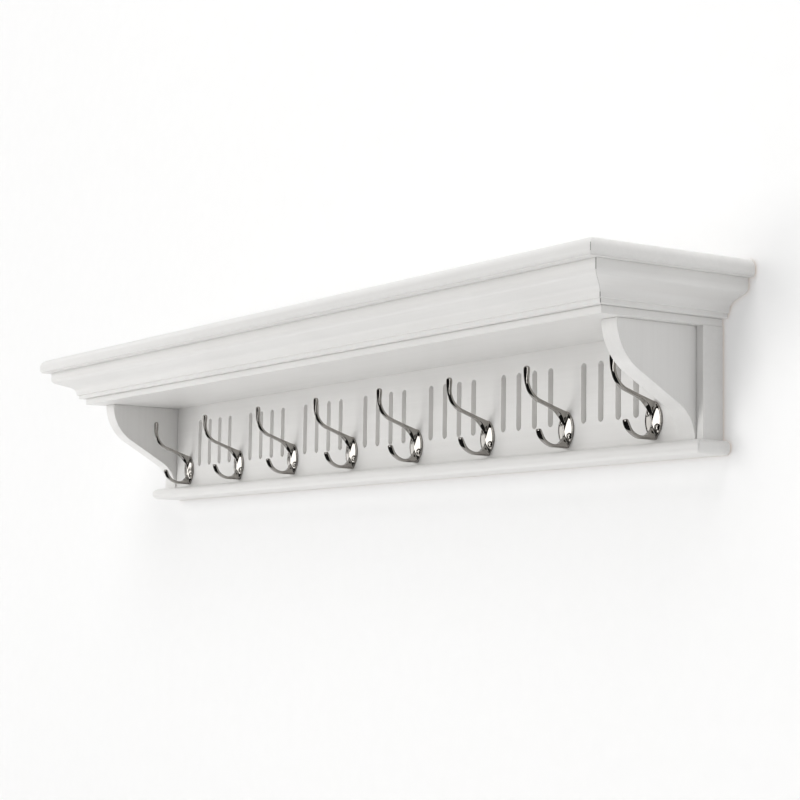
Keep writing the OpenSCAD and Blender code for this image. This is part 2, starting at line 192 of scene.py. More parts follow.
class Surface(Graph):
    """A material's tree, laid out by the object's own coordinates."""

    def __init__(self, name: str) -> None:
        """Makes an empty material.

        Args:
            name: The material's name.
        """
        self.material = bpy.data.materials.new(name)
        self.material.use_nodes = True
        super().__init__(self.material.node_tree)

    def place(self) -> Socket:
        """The object's own coordinates."""
        return self.node("ShaderNodeTexCoord").outputs["Object"]

    def stretched(self, scale: Triple) -> Socket:
        """The object's own coordinates, scaled axis by axis."""
        return self.node("ShaderNodeMapping", {"Vector": self.place(), "Scale": scale}).outputs[0]

    def noise(self, vector: Socket, scale: float, detail: float = 2.0) -> Socket:
        """Noise in cycles per metre of its vector."""
        inputs = {"Vector": vector, "Scale": scale, "Detail": detail}
        return self.node("ShaderNodeTexNoise", inputs).outputs["Fac"]

    def mix(self, factor: Socket, first: Any, second: Any) -> Socket:
        """Mixes two colours, each a socket or a constant.

        Args:
            factor: Share of the second colour.
            first: One colour.
            second: The other colour.

        Returns:
            The mixed colour.
        """
        colours = [value if isinstance(value, Socket) else (*value, 1.0) for value in (first, second)]
        inputs = {0: factor, 6: colours[0], 7: colours[1]}
        return self.node("ShaderNodeMix", inputs, data_type="RGBA").outputs[2]

    def bumps(self, *layers: tuple[Socket, Point]) -> Socket:
        """Lays bumps over one another.

        Args:
            layers: Each bump's height, with its strength and distance, from the lowest up.

        Returns:
            The normal.
        """
        inputs: dict[str, Any] = {}
        for height, (strength, distance) in layers:
            inputs.update({"Height": height, "Strength": strength, "Distance": distance})
            inputs["Normal"] = self.node("ShaderNodeBump", inputs).outputs[0]
        return inputs["Normal"]

    def finish(self, colour: Socket, roughness: Any, normal: Socket, metallic: float = 0.0) -> Material:
        """Ends the tree in a solid surface and gives the material."""
        inputs = {"Base Color": colour, "Roughness": roughness, "Normal": normal, "Metallic": metallic}
        return self.close(self.node("ShaderNodeBsdfPrincipled", inputs).outputs[0])

    def close(self, shader: Socket) -> Material:
        """Ends the tree in a shader and gives the material."""
        self.node("ShaderNodeOutputMaterial", {"Surface": shader})
        return self.material


# Finishes, with noise in cycles per metre and each relief as a bump's strength and distance


@dataclass(frozen=True)
class BareWood:
    """Planed bare wood with streaks along the grain."""

    name: str
    way: Way
    light: Triple = (0.66, 0.47, 0.27)
    dark: Triple = (0.45, 0.28, 0.14)
    streak_scale: float = 260.0
    band_scale: float = 45.0
    band_share: float = 0.6
    contrast: Point = (0.36, 0.64)
    roughness: float = 0.62
    relief: Point = (0.5, 0.0002)

    def streaks(self, graph: Surface) -> tuple[Socket, Socket]:
        """Adds the grain to a material's tree.

        Args:
            graph: The material's tree.

        Returns:
            The wood's colour and the height of its grain.
        """
        grain = graph.stretched(self.way.value)
        bands = graph.noise(grain, self.band_scale, detail=3.0)
        fine = graph.noise(grain, self.streak_scale, detail=4.0)
        both = graph.total((bands, self.band_share), (fine, 1.0 - self.band_share))
        return graph.mix(graph.remap(both, self.contrast), self.light, self.dark), fine

    def build(self) -> Material:
        """Makes the material.

        Returns:
            The finish's material.
        """
        graph = Surface(self.name)
        colour, height = self.streaks(graph)
        return graph.finish(colour, self.roughness, graph.bumps((height, self.relief)))


@dataclass(frozen=True)
class SatinPaint:
    """White satin paint brushed along one axis, with the wood left bare on the wall side."""

    name: str
    way: Way
    colour: Triple = (0.84, 0.832, 0.818)
    shade: Triple = (0.812, 0.804, 0.789)
    cloud_scale: float = 9.0
    swell_scale: float = 55.0
    streak_scale: float = 190.0
    stroke_scale: float = 620.0
    peel_scale: float = 780.0
    cloud_stroke_streak_shares: Triple = (0.65, 0.2, 0.55)
    contrast: Point = (0.58, 0.84)
    peel_share: float = 0.4
    gloss_contrast: Point = (0.4, 1.0)
    roughness: Point = (0.27, 0.39)
    bare_roughness: float = 0.3
    swell_relief: Point = (0.25, 0.0003)
    streak_relief: Point = (0.2, 0.00005)
    stroke_relief: Point = (0.22, 0.00012)
    peel_relief: Point = (0.15, 0.0001)
    bare_from_y: float = -0.00018
    overspray: float = 0.0001
    back_facing: Point = (0.96, 0.98)

    def bare(self, graph: Surface, clouds: Socket) -> Socket:
        """Finds where the back was left unpainted, with a ragged edge.

        Args:
            graph: The material's tree.
            clouds: Slow noise that makes the edge ragged.

        Returns:
            1 on bare wood and 0 on paint.
        """
        ragged = graph.total((graph.axis(graph.place(), "Y"), 1.0), (clouds, self.overspray))
        behind = graph.remap(ragged, (self.bare_from_y, self.bare_from_y + self.overspray))
        facing = graph.node("ShaderNodeNewGeometry").outputs["True Normal"]
        return graph.math("MULTIPLY", behind, graph.remap(graph.axis(facing, "Y"), self.back_facing))

    def build(self) -> Material:
        """Makes the material.

        Returns:
            The finish's material.
        """
        graph = Surface(self.name)
        place = graph.place()
        brushed = graph.stretched(self.way.value)
        clouds = graph.noise(place, self.cloud_scale)
        peel = graph.noise(place, self.peel_scale)
        swell = graph.noise(brushed, self.swell_scale)
        streaks = graph.noise(brushed, self.streak_scale, detail=4.0)
        strokes = graph.noise(brushed, self.stroke_scale, detail=3.0)
        tone = graph.total(*zip((clouds, strokes, streaks), self.cloud_stroke_streak_shares))
        paint = graph.mix(graph.remap(tone, self.contrast), self.colour, self.shade)
        wood = BareWood(self.name, Way.ALONG_X).streaks(graph)[0]
        bare = self.bare(graph, clouds)
        gloss = graph.total((swell, 1.0), (peel, self.peel_share))
        gloss = graph.remap(gloss, self.gloss_contrast, self.roughness)
        normal = graph.bumps((swell, self.swell_relief), (streaks, self.streak_relief),
                             (strokes, self.stroke_relief), (peel, self.peel_relief))
        roughness = graph.total((gloss, 1.0), (bare, self.bare_roughness))
        return graph.finish(graph.mix(bare, paint, wood), roughness, normal)


@dataclass(frozen=True)
class Metal:
    """Plated metal: polished nickel or bright zinc, by its colour, roughness and haze."""

    name: str
    colour: Triple
    haze_colour: Triple
    roughness: float
    haze: float
    ripple: float
    scratches: float
    patch_scale: float = 130.0
    fine_scale: float = 1900.0
    line_scale: float = 1400.0
    drawn: Triple = (1.0, 0.08, 0.3)
    contrast: Point = (0.42, 0.72)
    ripple_depth: float = 0.0003
    scratch_depth: float = 0.00003

    def build(self) -> Material:
        """Makes the material.

        Returns:
            The finish's material.
        """
        graph = Surface(self.name)
        patches = graph.noise(graph.place(), self.patch_scale, detail=3.0)
        fine = graph.noise(graph.place(), self.fine_scale)
        lines = graph.noise(graph.stretched(self.drawn), self.line_scale, detail=3.0)
        colour = graph.mix(graph.remap(patches, self.contrast), self.colour, self.haze_colour)
        roughness = graph.total((patches, self.haze), (fine, self.haze / 2), (1.0, self.roughness))
        normal = graph.bumps((patches, (self.ripple, self.ripple_depth)),
                             (lines, (self.scratches, self.scratch_depth)))
        return graph.finish(colour, roughness, normal, metallic=1.0)


class Finishes:
    """Every finish on the rack, made once."""

    def __init__(self) -> None:
        """Builds the materials."""
        self.paint = {way: SatinPaint(f"satin_paint_{way.name.lower()}", way).build() for way in Way}
        # Painted shade: a dark paint for the faces in the fine corner joints, standing in for the shade that
        # falls there, with a little dust
        self.seam = SatinPaint("satin_paint_in_joints", Way.ALONG_X, colour=(0.34, 0.335, 0.33),
                               shade=(0.26, 0.255, 0.25)).build()
        self.pine_x = BareWood("pine_along_x", Way.ALONG_X).build()
        self.pine_y = BareWood("pine_along_y", Way.ALONG_Y).build()
        self.beech = BareWood("beech_along_z", Way.ALONG_Z, light=(0.62, 0.42, 0.26), dark=(0.5, 0.31, 0.18),
                              streak_scale=520.0, band_scale=120.0).build()
        self.nickel = Metal("polished_nickel", (0.35, 0.335, 0.315), (0.31, 0.297, 0.28), roughness=0.035,
                            haze=0.03, ripple=0.05, scratches=0.12).build()
        self.zinc = Metal("bright_zinc", (0.60, 0.62, 0.64), (0.50, 0.52, 0.53), roughness=0.24, haze=0.16,
                          ripple=0.1, scratches=0.3).build()


# Outlines and meshes


def arc(centre: Point, radius: float, start: float, end: float, steps: int = ROUND_STEPS) -> list[Point]:
    """Points along an arc, from one angle to another, in degrees.

    Args:
        centre: The arc's centre.
        radius: Its radius.
        start: Angle of its first point.
        end: Angle of its last point.
        steps: How many stretches it is made of.

    Returns:
        The arc's points, with both ends.
    """
    angles = [math.radians(start + (end - start) * k / steps) for k in range(steps + 1)]
    return [(centre[0] + radius * math.cos(a), centre[1] + radius * math.sin(a)) for a in angles]


def eased(corners: Sequence[Triple]) -> list[Point]:
    """Rounds the corners of a closed outline.

    Args:
        corners: X, Y and radius of each corner, in order round the outline.

    Returns:
        The outline's points, with an arc at each corner that has a radius.
    """
    points: list[Point] = []
    count = len(corners)
    for k, (x, y, radius) in enumerate(corners):
        here = Vector((x, y))
        if radius == 0.0:
            points.append((x, y))
            continue
        back = (Vector(corners[k - 1][:2]) - here).normalized()
        ahead = (Vector(corners[(k + 1) % count][:2]) - here).normalized()
        half = back.angle(ahead) / 2
        centre = here + (back + ahead).normalized() * radius / math.sin(half)
        reach = radius / math.tan(half)
        first = here + back * reach - centre
        last = here + ahead * reach - centre
        turn = first.angle_signed(last)
        steps = ROUND_STEPS if radius > LARGE_RADIUS else FINE_STEPS
        for step in range(steps + 1):
            spoke = first.copy()
            spoke.rotate(Matrix.Rotation(-turn * step / steps, 2))
            points.append(tuple(centre + spoke))
    return points


def mesh_piece(name: str, points: Iterable[Sequence[float]], faces: Iterable[Iterable[int]]) -> Piece:
    """Makes a smooth-shaded mesh object in the scene, with its faces turned outwards.

    Args:
        name: The piece's name.
        points: Its points.
        faces: Its faces, by their points.

    Returns:
        The piece.
    """
    mesh = bpy.data.meshes.new(name)
    mesh.from_pydata([tuple(p) for p in points], [], [tuple(f) for f in faces])
    piece = bpy.data.objects.new(name, mesh)
    bpy.context.scene.collection.objects.link(piece)
    turn_out(piece)
    return piece


def turn_out(piece: Piece, weld: float = 0.0) -> None:
    """Joins points that are no further apart than weld, turns the faces outwards and shades them smooth.

    Args:
        piece: A piece with a closed mesh.
        weld: The widest gap that is joined.
    """
    work = bmesh.new()
    work.from_mesh(piece.data)
    if weld > 0.0:
        bmesh.ops.remove_doubles(work, verts=work.verts, dist=weld)
    bmesh.ops.recalc_face_normals(work, faces=work.faces)
    work.to_mesh(piece.data)
    work.free()
    piece.data.shade_smooth()


def soften(piece: Piece, radius: float = 0.0, angle: float = 38.0, clamp: bool = True) -> None:
    """Eases a piece's arrises and keeps its flat faces flat to the light.

    Args:
        piece: The piece, which ends as one plain mesh.
        radius: How far the easing reaches on each side of an arris.
        angle: Smallest turn, in degrees, that counts as an arris.
        clamp: Whether short edges hold the easing back.
    """
    if radius > 0.0:
        bevel = piece.modifiers.new("ease", "BEVEL")
        bevel.width = radius
        bevel.segments = FINE_STEPS
        bevel.limit_method = "ANGLE"
        bevel.angle_limit = math.radians(angle)
        bevel.use_clamp_overlap = clamp
        settle(piece)
    piece.data.set_sharp_from_angle(angle=math.radians(angle))
    weighted = piece.modifiers.new("flats", "WEIGHTED_NORMAL")
    weighted.weight = 100
    weighted.keep_sharp = True
    settle(piece)


def settle(piece: Piece) -> None:
    """Turns a piece and its modifiers into one plain mesh.

    Args:
        piece: The piece, which keeps its name and loses its modifiers.
    """
    shaped = piece.evaluated_get(bpy.context.evaluated_depsgraph_get())
    plain = bpy.data.meshes.new_from_object(shaped)
    old = piece.data
    piece.modifiers.clear()
    piece.data = plain
    plain.name = piece.name
    bpy.data.meshes.remove(old)


def dress(piece: Piece, material: Material, slot: Slot, *nodes: str) -> Piece:
    """Gives a finished piece its material and its place in the frame.

    Args:
        piece: The finished piece.
        material: Its finish.
        slot: The record's slot of that finish; not used.
        nodes: The CAD nodes that the piece stands for.

    Returns:
        The piece.
    """
    piece.data.materials.clear()
    piece.data.materials.append(material)
    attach(piece, BODY)
    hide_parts(*nodes)
    log.info("%s: %d faces, for %s", piece.name, len(piece.data.polygons), ", ".join(nodes))
    return piece


def paint_node(node: str, material: Material) -> None:
    """Gives a CAD node that is shown as it is its finish.

    Args:
        node: The node's name.
        material: Its finish.
    """
    part = frame["nodes"][node]
    for place in part.material_slots:
        place.link = "OBJECT"
        place.material = material
    log.info("%s: shown as built", node)


# Geometry trees


class ShapeTree(Graph):
    """A geometry tree with named inputs, which starts from the piece's own mesh."""

    def __init__(self, name: str, sizes: dict[str, str]) -> None:
        """Makes the tree.

        Args:
            name: The tree's name.
            sizes: Input name to socket kind, such as Float, Int, Vector or Material.
        """
        super().__init__(bpy.data.node_groups.new(name, "GeometryNodeTree"))
        for label, kind in {"Geometry": "Geometry", **sizes}.items():
            self.tree.interface.new_socket(label, in_out="INPUT", socket_type="NodeSocket" + kind)
        self.tree.interface.new_socket("Geometry", in_out="OUTPUT", socket_type="NodeSocketGeometry")
        self.given = self.node("NodeGroupInput").outputs

    def solid(self, faces: Socket, offset: Socket) -> Socket:
        """Extrudes flat faces into closed solids.

        Args:
            faces: The flat faces.
            offset: How far and which way they are drawn out.

        Returns:
            The solids.
        """
        inputs = {"Mesh": faces, "Offset": offset, "Offset Scale": 1.0, "Individual": False}
        run = self.node("GeometryNodeExtrudeMesh", inputs, mode="FACES")
        shut = self.node("GeometryNodeFlipFaces", {"Mesh": faces})
        joined = self.node("GeometryNodeJoinGeometry")
        for part in (run.outputs["Mesh"], shut.outputs[0]):
            self.tree.links.new(part, joined.inputs[0])
        inputs = {"Geometry": joined.outputs[0], "Distance": 1e-6}
        return self.node("GeometryNodeMergeByDistance", inputs).outputs[0]

    def moved(self, shape: Socket, place: Any = ORIGIN, turn: Any = ORIGIN) -> Socket:
        """Turns a shape about the origin and moves it."""
        inputs = {"Geometry": shape, "Translation": place, "Rotation": turn}
        return self.node("GeometryNodeTransform", inputs).outputs[0]

    def line(self, count: Any, step: Socket, start: Any = ORIGIN) -> Socket:
        """Sets points in a line."""
        inputs = {"Count": count, "Start Location": start, "Offset": step}
        return self.node("GeometryNodeMeshLine", inputs).outputs[0]

    def copies(self, points: Socket, shape: Socket, turn: Any = ORIGIN) -> Socket:
        """Sets a copy of a shape at each point, as real geometry.

        Args:
            points: Where the copies go.
            shape: What is copied.
            turn: How each copy is turned.

        Returns:
            The copies.
        """
        inputs = {"Points": points, "Instance": shape, "Rotation": turn}
        placed = self.node("GeometryNodeInstanceOnPoints", inputs)
        return self.node("GeometryNodeRealizeInstances", {0: placed.outputs[0]}).outputs[0]

    def cut(self, shape: Socket, cutter: Socket) -> Socket:
        """Takes one shape out of another."""
        inputs = {"Mesh 1": shape, "Mesh 2": cutter}
        return self.node("GeometryNodeMeshBoolean", inputs, operation="DIFFERENCE").outputs["Mesh"]

    def close(self, shape: Socket) -> None:
        """Ends the tree in Realize Instances and Set Material.

        Args:
            shape: The finished shape.
        """
        real = self.node("GeometryNodeRealizeInstances", {0: shape}).outputs[0]
        inputs = {"Geometry": real, "Material": self.given["Material"]}
        finished = self.node("GeometryNodeSetMaterial", inputs).outputs[0]
        self.node("NodeGroupOutput", {0: finished})

    def grow(self, piece: Piece, sizes: dict[str, Any]) -> None:
        """Shapes a piece by the tree, and leaves one plain mesh.

        Args:
            piece: The piece, whose mesh the tree starts from.
            sizes: Input name to value, each set by its socket's identifier.
        """
        modifier = piece.modifiers.new(self.tree.name, "NODES")
        modifier.node_group = self.tree
        for item in self.tree.interface.items_tree:
            if item.in_out == "INPUT" and item.name in sizes:
                modifier[item.identifier] = sizes[item.name]
        settle(piece)
        turn_out(piece)


def mitred_run() -> ShapeTree:
    """Tree that runs a moulding's section along X and cuts each end square or to a mitre.

    The piece's own mesh is the section, one face in the YZ plane with the moulding growing towards -Y.

    Returns:
        The tree.
    """
    tree = ShapeTree("mitred_run", {
        "Length": "Float", "Start mitre": "Float", "End mitre": "Float", "Turn": "Vector", "Place": "Vector",
        "Material": "Material"})
    given = tree.given
    bar = tree.solid(given["Geometry"], tree.vector(given["Length"]))
    place = tree.node("GeometryNodeInputPosition").outputs[0]
    share = tree.math("DIVIDE", tree.axis(place, "X"), given["Length"])
    outwards = tree.math("MULTIPLY", tree.axis(place, "Y"), -1.0)
    at_end = tree.math("MULTIPLY", share, given["End mitre"])
    at_start = tree.math("MULTIPLY", tree.math("SUBTRACT", 1.0, share), given["Start mitre"])
    shift = tree.math("MULTIPLY", outwards, tree.math("SUBTRACT", at_end, at_start))
    cut = tree.node("GeometryNodeSetPosition", {"Geometry": bar, "Offset": tree.vector(shift)})
    tree.close(tree.moved(cut.outputs[0], given["Place"], given["Turn"]))
    return tree


def slotted_board() -> ShapeTree:
    """Tree that cuts a row of upright round-ended slots in groups into the front of a board.

    The piece's own mesh is the uncut board, and its front faces -Y.

    Returns:
        The tree.
    """
    tree = ShapeTree("slotted_board", {
        "Groups": "Int", "Group pitch": "Float", "Slots": "Int", "Slot pitch": "Float", "Width": "Float",
        "Height": "Float", "Depth": "Float", "First slot": "Vector", "Material": "Material"})
    given = tree.given
    nearly_half = 0.4999
    sides = tree.node("GeometryNodeCurvePrimitiveQuadrilateral", {
        "Width": given["Width"], "Height": given["Height"]})
    rounded = tree.node("GeometryNodeFilletCurve", {
        "Curve": sides.outputs[0], "Radius": tree.math("MULTIPLY", given["Width"], nearly_half), "Count": 8,
        "Limit Radius": True}, mode="POLY")
    filled = tree.node("GeometryNodeFillCurve", {"Curve": rounded.outputs[0]}, mode="NGONS")
    plug = tree.solid(filled.outputs[0], tree.vector(z=tree.math("MULTIPLY", given["Depth"], 2.0)))
    cutter = tree.moved(plug, tree.vector(y=given["Depth"]), (math.pi / 2, 0.0, 0.0))
    groups = tree.line(given["Groups"], tree.vector(given["Group pitch"]), given["First slot"])
    slots = tree.line(given["Slots"], tree.vector(given["Slot pitch"]))
    tree.close(tree.cut(given["Geometry"], tree.copies(tree.copies(groups, slots), cutter)))
    return tree


def screw_row() -> ShapeTree:
    """Tree that cuts a cross recess into a screw and sets two screws in each plate of a row.

    The piece's own mesh is one screw on the Y axis, with the top of its head at the origin and facing -Y.

    Returns:
        The tree.
    """
    tree = ShapeTree("screw_row", {
        "Recess": "Vector", "Plates": "Int", "Pitch": "Float", "First plate": "Vector",
        "First screw": "Vector", "Next screw": "Vector", "Lean": "Float", "Seed": "Int",
        "Material": "Material"})
    given = tree.given
    bar = tree.node("GeometryNodeMeshCube", {"Size": given["Recess"]}).outputs[0]
    screw = tree.cut(given["Geometry"], bar)
    screw = tree.cut(screw, tree.moved(bar, turn=(0.0, math.pi / 2, 0.0)))
    plates = tree.line(given["Plates"], tree.vector(given["Pitch"]), given["First plate"])
    points = tree.copies(plates, tree.line(2, given["Next screw"], given["First screw"]))
    turned = tree.node("FunctionNodeRandomValue", {2: 0.0, 3: math.pi / 2, "Seed": given["Seed"]})
    order = tree.math("MODULO", tree.node("GeometryNodeInputIndex").outputs[0], 2.0)
    side = tree.math("SUBTRACT", 1.0, tree.math("MULTIPLY", order, 2.0))
    lean = tree.math("MULTIPLY", side, given["Lean"])
    tree.close(tree.copies(points, screw, tree.vector(0.0, turned.outputs[1], lean)))
    return tree


# Boards and mouldings


def lofted(rings: int, width: int, closed: bool = True) -> list[tuple[int, ...]]:
    """Gives the faces between rings of points that are numbered ring by ring.

    Args:
        rings: How many rings there are.
        width: Points in each ring.
        closed: Whether a ring's last point joins its first.

    Returns:
        The faces.
    """
    sides = width if closed else width - 1
    return [(start + k, start + (k + 1) % width, start + width + (k + 1) % width, start + width + k)
            for start in range(0, (rings - 1) * width, width) for k in range(sides)]


def nosed_board(name: str, half_length: float, depth: float, base: float, nose: Sequence[Point],
                corner: float) -> Piece:
    """Makes a board whose front and two ends carry one nose.

    Args:
        name: The piece's name.
        half_length: Half the board's length over its noses.
        depth: From the wall to the front of the nose.
        base: Height of the board's underside.
        nose: The nose's points from the underside up, as inset from the furthest edge and height.
        corner: Radius of the two front corners, seen from above.

    Returns:
        The board, one closed mesh.
    """
    points: list[Triple] = []
    for inset, height in nose:
        x = half_length - inset
        y = depth - inset
        ring = [(x, 0.0), *arc((x - corner, y - corner), corner, 0.0, 90.0, FINE_STEPS)]
        ring += [(-a, b) for a, b in reversed(ring)]
        points += [(a, -b, base + height) for a, b in ring]
    width = len(points) // len(nose)
    starts = range(0, len(points), width)
    ends = [start + width - 1 for start in reversed(starts)]
    faces = lofted(len(nose), width, closed=False)
    faces += [range(width), range(starts[-1], len(points)), (*starts, *ends)]
    piece = mesh_piece(name, points, faces)
    soften(piece)
    return piece


def block(name: str, low: Vector, high: Vector) -> Piece:
    """Makes a plain box between two corners, ready to be cut and eased.

    Args:
        name: The piece's name.
        low: Its lowest corner.
        high: Its highest corner.

    Returns:
        The box.
    """
    points = product((low.x, high.x), (low.y, high.y), (low.z, high.z))
    faces = [(0, 1, 3, 2), (4, 6, 7, 5), (0, 4, 5, 1), (2, 3, 7, 6), (0, 2, 6, 4), (1, 5, 7, 3)]
    return mesh_piece(name, points, faces)


def prism(name: str, first: Sequence[Triple], last: Sequence[Triple]) -> Piece:
    """Makes a solid between two outlines that match point by point.

    Args:
        name: The piece's name.
        first: One outline.
        last: The other outline.

    Returns:
        The solid.
    """
    count = len(first)
    return mesh_piece(name, [*first, *last], [range(count), range(count, 2 * count), *lofted(2, count)])


@dataclass
class Shelf:
    """The shelf: a nosed top board, three mitred lengths of crown moulding and the soffit board."""

    upper_round: float = 0.011
    lower_round: float = 0.0055
    corner: float = 0.0012
    crease: float = 0.0004
    worn: float = 0.0010
    fillet_out: float = 0.0085
    fillet_height: float = 0.0054
    cove_step: float = 0.0028
    cove_lip: float = 0.0011
    cove_radius: float = 0.012
    neck_slope: float = 20.0
    round_radius: float = 0.0073
    seat: float = 0.010
    back_height: float = 0.010
    top_seat: float = 0.018
    soffit_ease: float = 0.0010
    joint_ease: float = 0.0007
    # Painted shade in the mitre joints: its width as a share of the easing, and the normal's Z above which a
    # face takes it
    joint_shade_share: float = 2.2
    joint_shade_fades: float = -0.45
    quirk: Point = (0.0016, 0.0009)
    quirk_angle: float = -50.0
    # Heights on the top board's nose between which its front corners take painted shade
    nose_corner_shade: Point = (0.004, 0.0135)

    def section(self, out: float, height: float) -> list[Point]:
        """Gives the crown's section.

        Args:
            out: How far the moulding stands past the soffit board.
            height: Height of the moulding.

        Returns:
            Points as distance outwards from the soffit board's edge and height over its seat.
        """
        lip = self.fillet_out + self.cove_step
        slope = math.radians(self.neck_slope)
        turn = self.cove_radius / math.tan((math.pi / 2 + slope) / 2)
        neck = self.fillet_height + self.cove_lip + turn
        return eased([
            (-self.seat, 0.0, 0.0),
            (self.fillet_out, 0.0, self.worn),
            (self.fillet_out, self.fillet_height, self.crease / 2),
            (lip, self.fillet_height, self.worn),
            (lip, neck, self.cove_radius),
            (out, neck + (out - lip) * math.tan(slope), self.round_radius),
            (out, height, self.crease),
            (out - self.top_seat, height, 0.0),
            (-self.seat, self.back_height, 0.0)])

    def nose(self, thick: float) -> list[Point]:
        """Gives the top board's nose, with a fine quirk at its foot.

        Args:
            thick: The board's thickness.

        Returns:
            Points as inset and height.
        """
        step, groove = self.quirk
        under = [(self.lower_round - a, self.lower_round + b)
                 for a, b in arc((0.0, 0.0), self.lower_round, self.quirk_angle, 0.0)]
        foot = under[0][0]
        over = [(self.upper_round - a, thick - self.upper_round + b)
                for a, b in arc((0.0, 0.0), self.upper_round, 0.0, 90.0)]
        side = step - groove / 2
        return [(foot, 0.0), (foot, side), (foot + groove, side), (foot + groove, step), *under, *over]

    def paint_joint_shade(self, piece: Piece, seam: Material, corner: Point, half: float,
               shows: Callable[[bpy.types.MeshPolygon], bool]) -> None:
        """Paints shade, with a little dust, into the fine joints at the two front corners: faces there take a
        dark finish.

        Args:
            piece: The piece with the joint.
            seam: The dark finish that paints the shade into the joint.
            corner: X and Y of the right front corner, from which the mitre runs.
            half: Half of the joint's width.
            shows: Whether a face so near the mitre takes the painted shade.
        """
        piece.data.materials.append(seam)
        for face in piece.data.polygons:
            off = (abs(face.center.x) - corner[0]) + (face.center.y - corner[1])
            if abs(off) < half and shows(face):
                face.material_index = 1

    def crown(self, node: str, finishes: Finishes, way: Way, section: Sequence[Point],
              run: dict[str, Any]) -> None:
        """Makes one length of the crown moulding.

        Args:
            node: The CAD node that the length stands for.
            finishes: The rack's finishes.
            way: Direction of the length.
            section: The moulding's section.
            run: Sizes for the tree that runs the moulding.
        """
        piece = mesh_piece(node + "_moulding", [(0.0, -a, b) for a, b in section], [range(len(section))])
        mitred_run().grow(piece, {**run, "Material": finishes.paint[way]})
        soften(piece, self.joint_ease, clamp=False)
        dress(piece, finishes.paint[way], Slot.PAINTED, node)
        # Painted shade in the mitre joint: faces near it, unless turned well down, take the dark finish
        low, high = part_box("soffit_board")
        self.paint_joint_shade(piece, finishes.seam, (high.x, low.y), self.joint_shade_share * self.joint_ease,
                    lambda face: face.normal.z > self.joint_shade_fades)

    def top_board(self, finishes: Finishes) -> None:
        """Makes the top board.

        Args:
            finishes: The rack's finishes.
        """
        low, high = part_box("top_board")
        top = nosed_board("top_board_nosed", high.x, -low.y, low.z, self.nose(high.z - low.z), self.corner)
        dress(top, finishes.paint[Way.ALONG_X], Slot.PAINTED, "top_board")
        # Painted shade down the nose's front corners, over a band of its height
        start, end = self.nose_corner_shade
        self.paint_joint_shade(top, finishes.seam, (high.x, low.y), self.corner / 3,
                    lambda face: (high.x - abs(face.center.x) < self.upper_round
                                  and start < face.center.z - low.z < end))

    def build(self, finishes: Finishes) -> None:
        """Makes the shelf's pieces.

        Args:
            finishes: The rack's finishes.
        """
        self.top_board(finishes)
        low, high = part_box("soffit_board")
        soffit = block("soffit_board_eased", low, high)
        soften(soffit, self.soffit_ease)
        dress(soffit, finishes.paint[Way.ALONG_X], Slot.PAINTED, "soffit_board")
        crown_low, crown_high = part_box("crown_front")
        section = self.section(low.y - crown_low.y, crown_high.z - crown_low.z)
        base = crown_low.z
        quarter = math.pi / 2
        self.crown("crown_front", finishes, Way.ALONG_X, section, {
            "Length": 2 * high.x, "Start mitre": 1.0, "End mitre": 1.0, "Place": (-high.x, low.y, base)})
        self.crown("crown_right", finishes, Way.ALONG_Y, section, {
            "Length": -low.y, "Start mitre": 1.0, "End mitre": 0.0, "Turn": (0.0, 0.0, quarter),
            "Place": (high.x, low.y, base)})
        self.crown("crown_left", finishes, Way.ALONG_Y, section, {
            "Length": -low.y, "Start mitre": 0.0, "End mitre": 1.0, "Turn": (0.0, 0.0, -quarter),
            "Place": (-high.x, 0.0, base)})


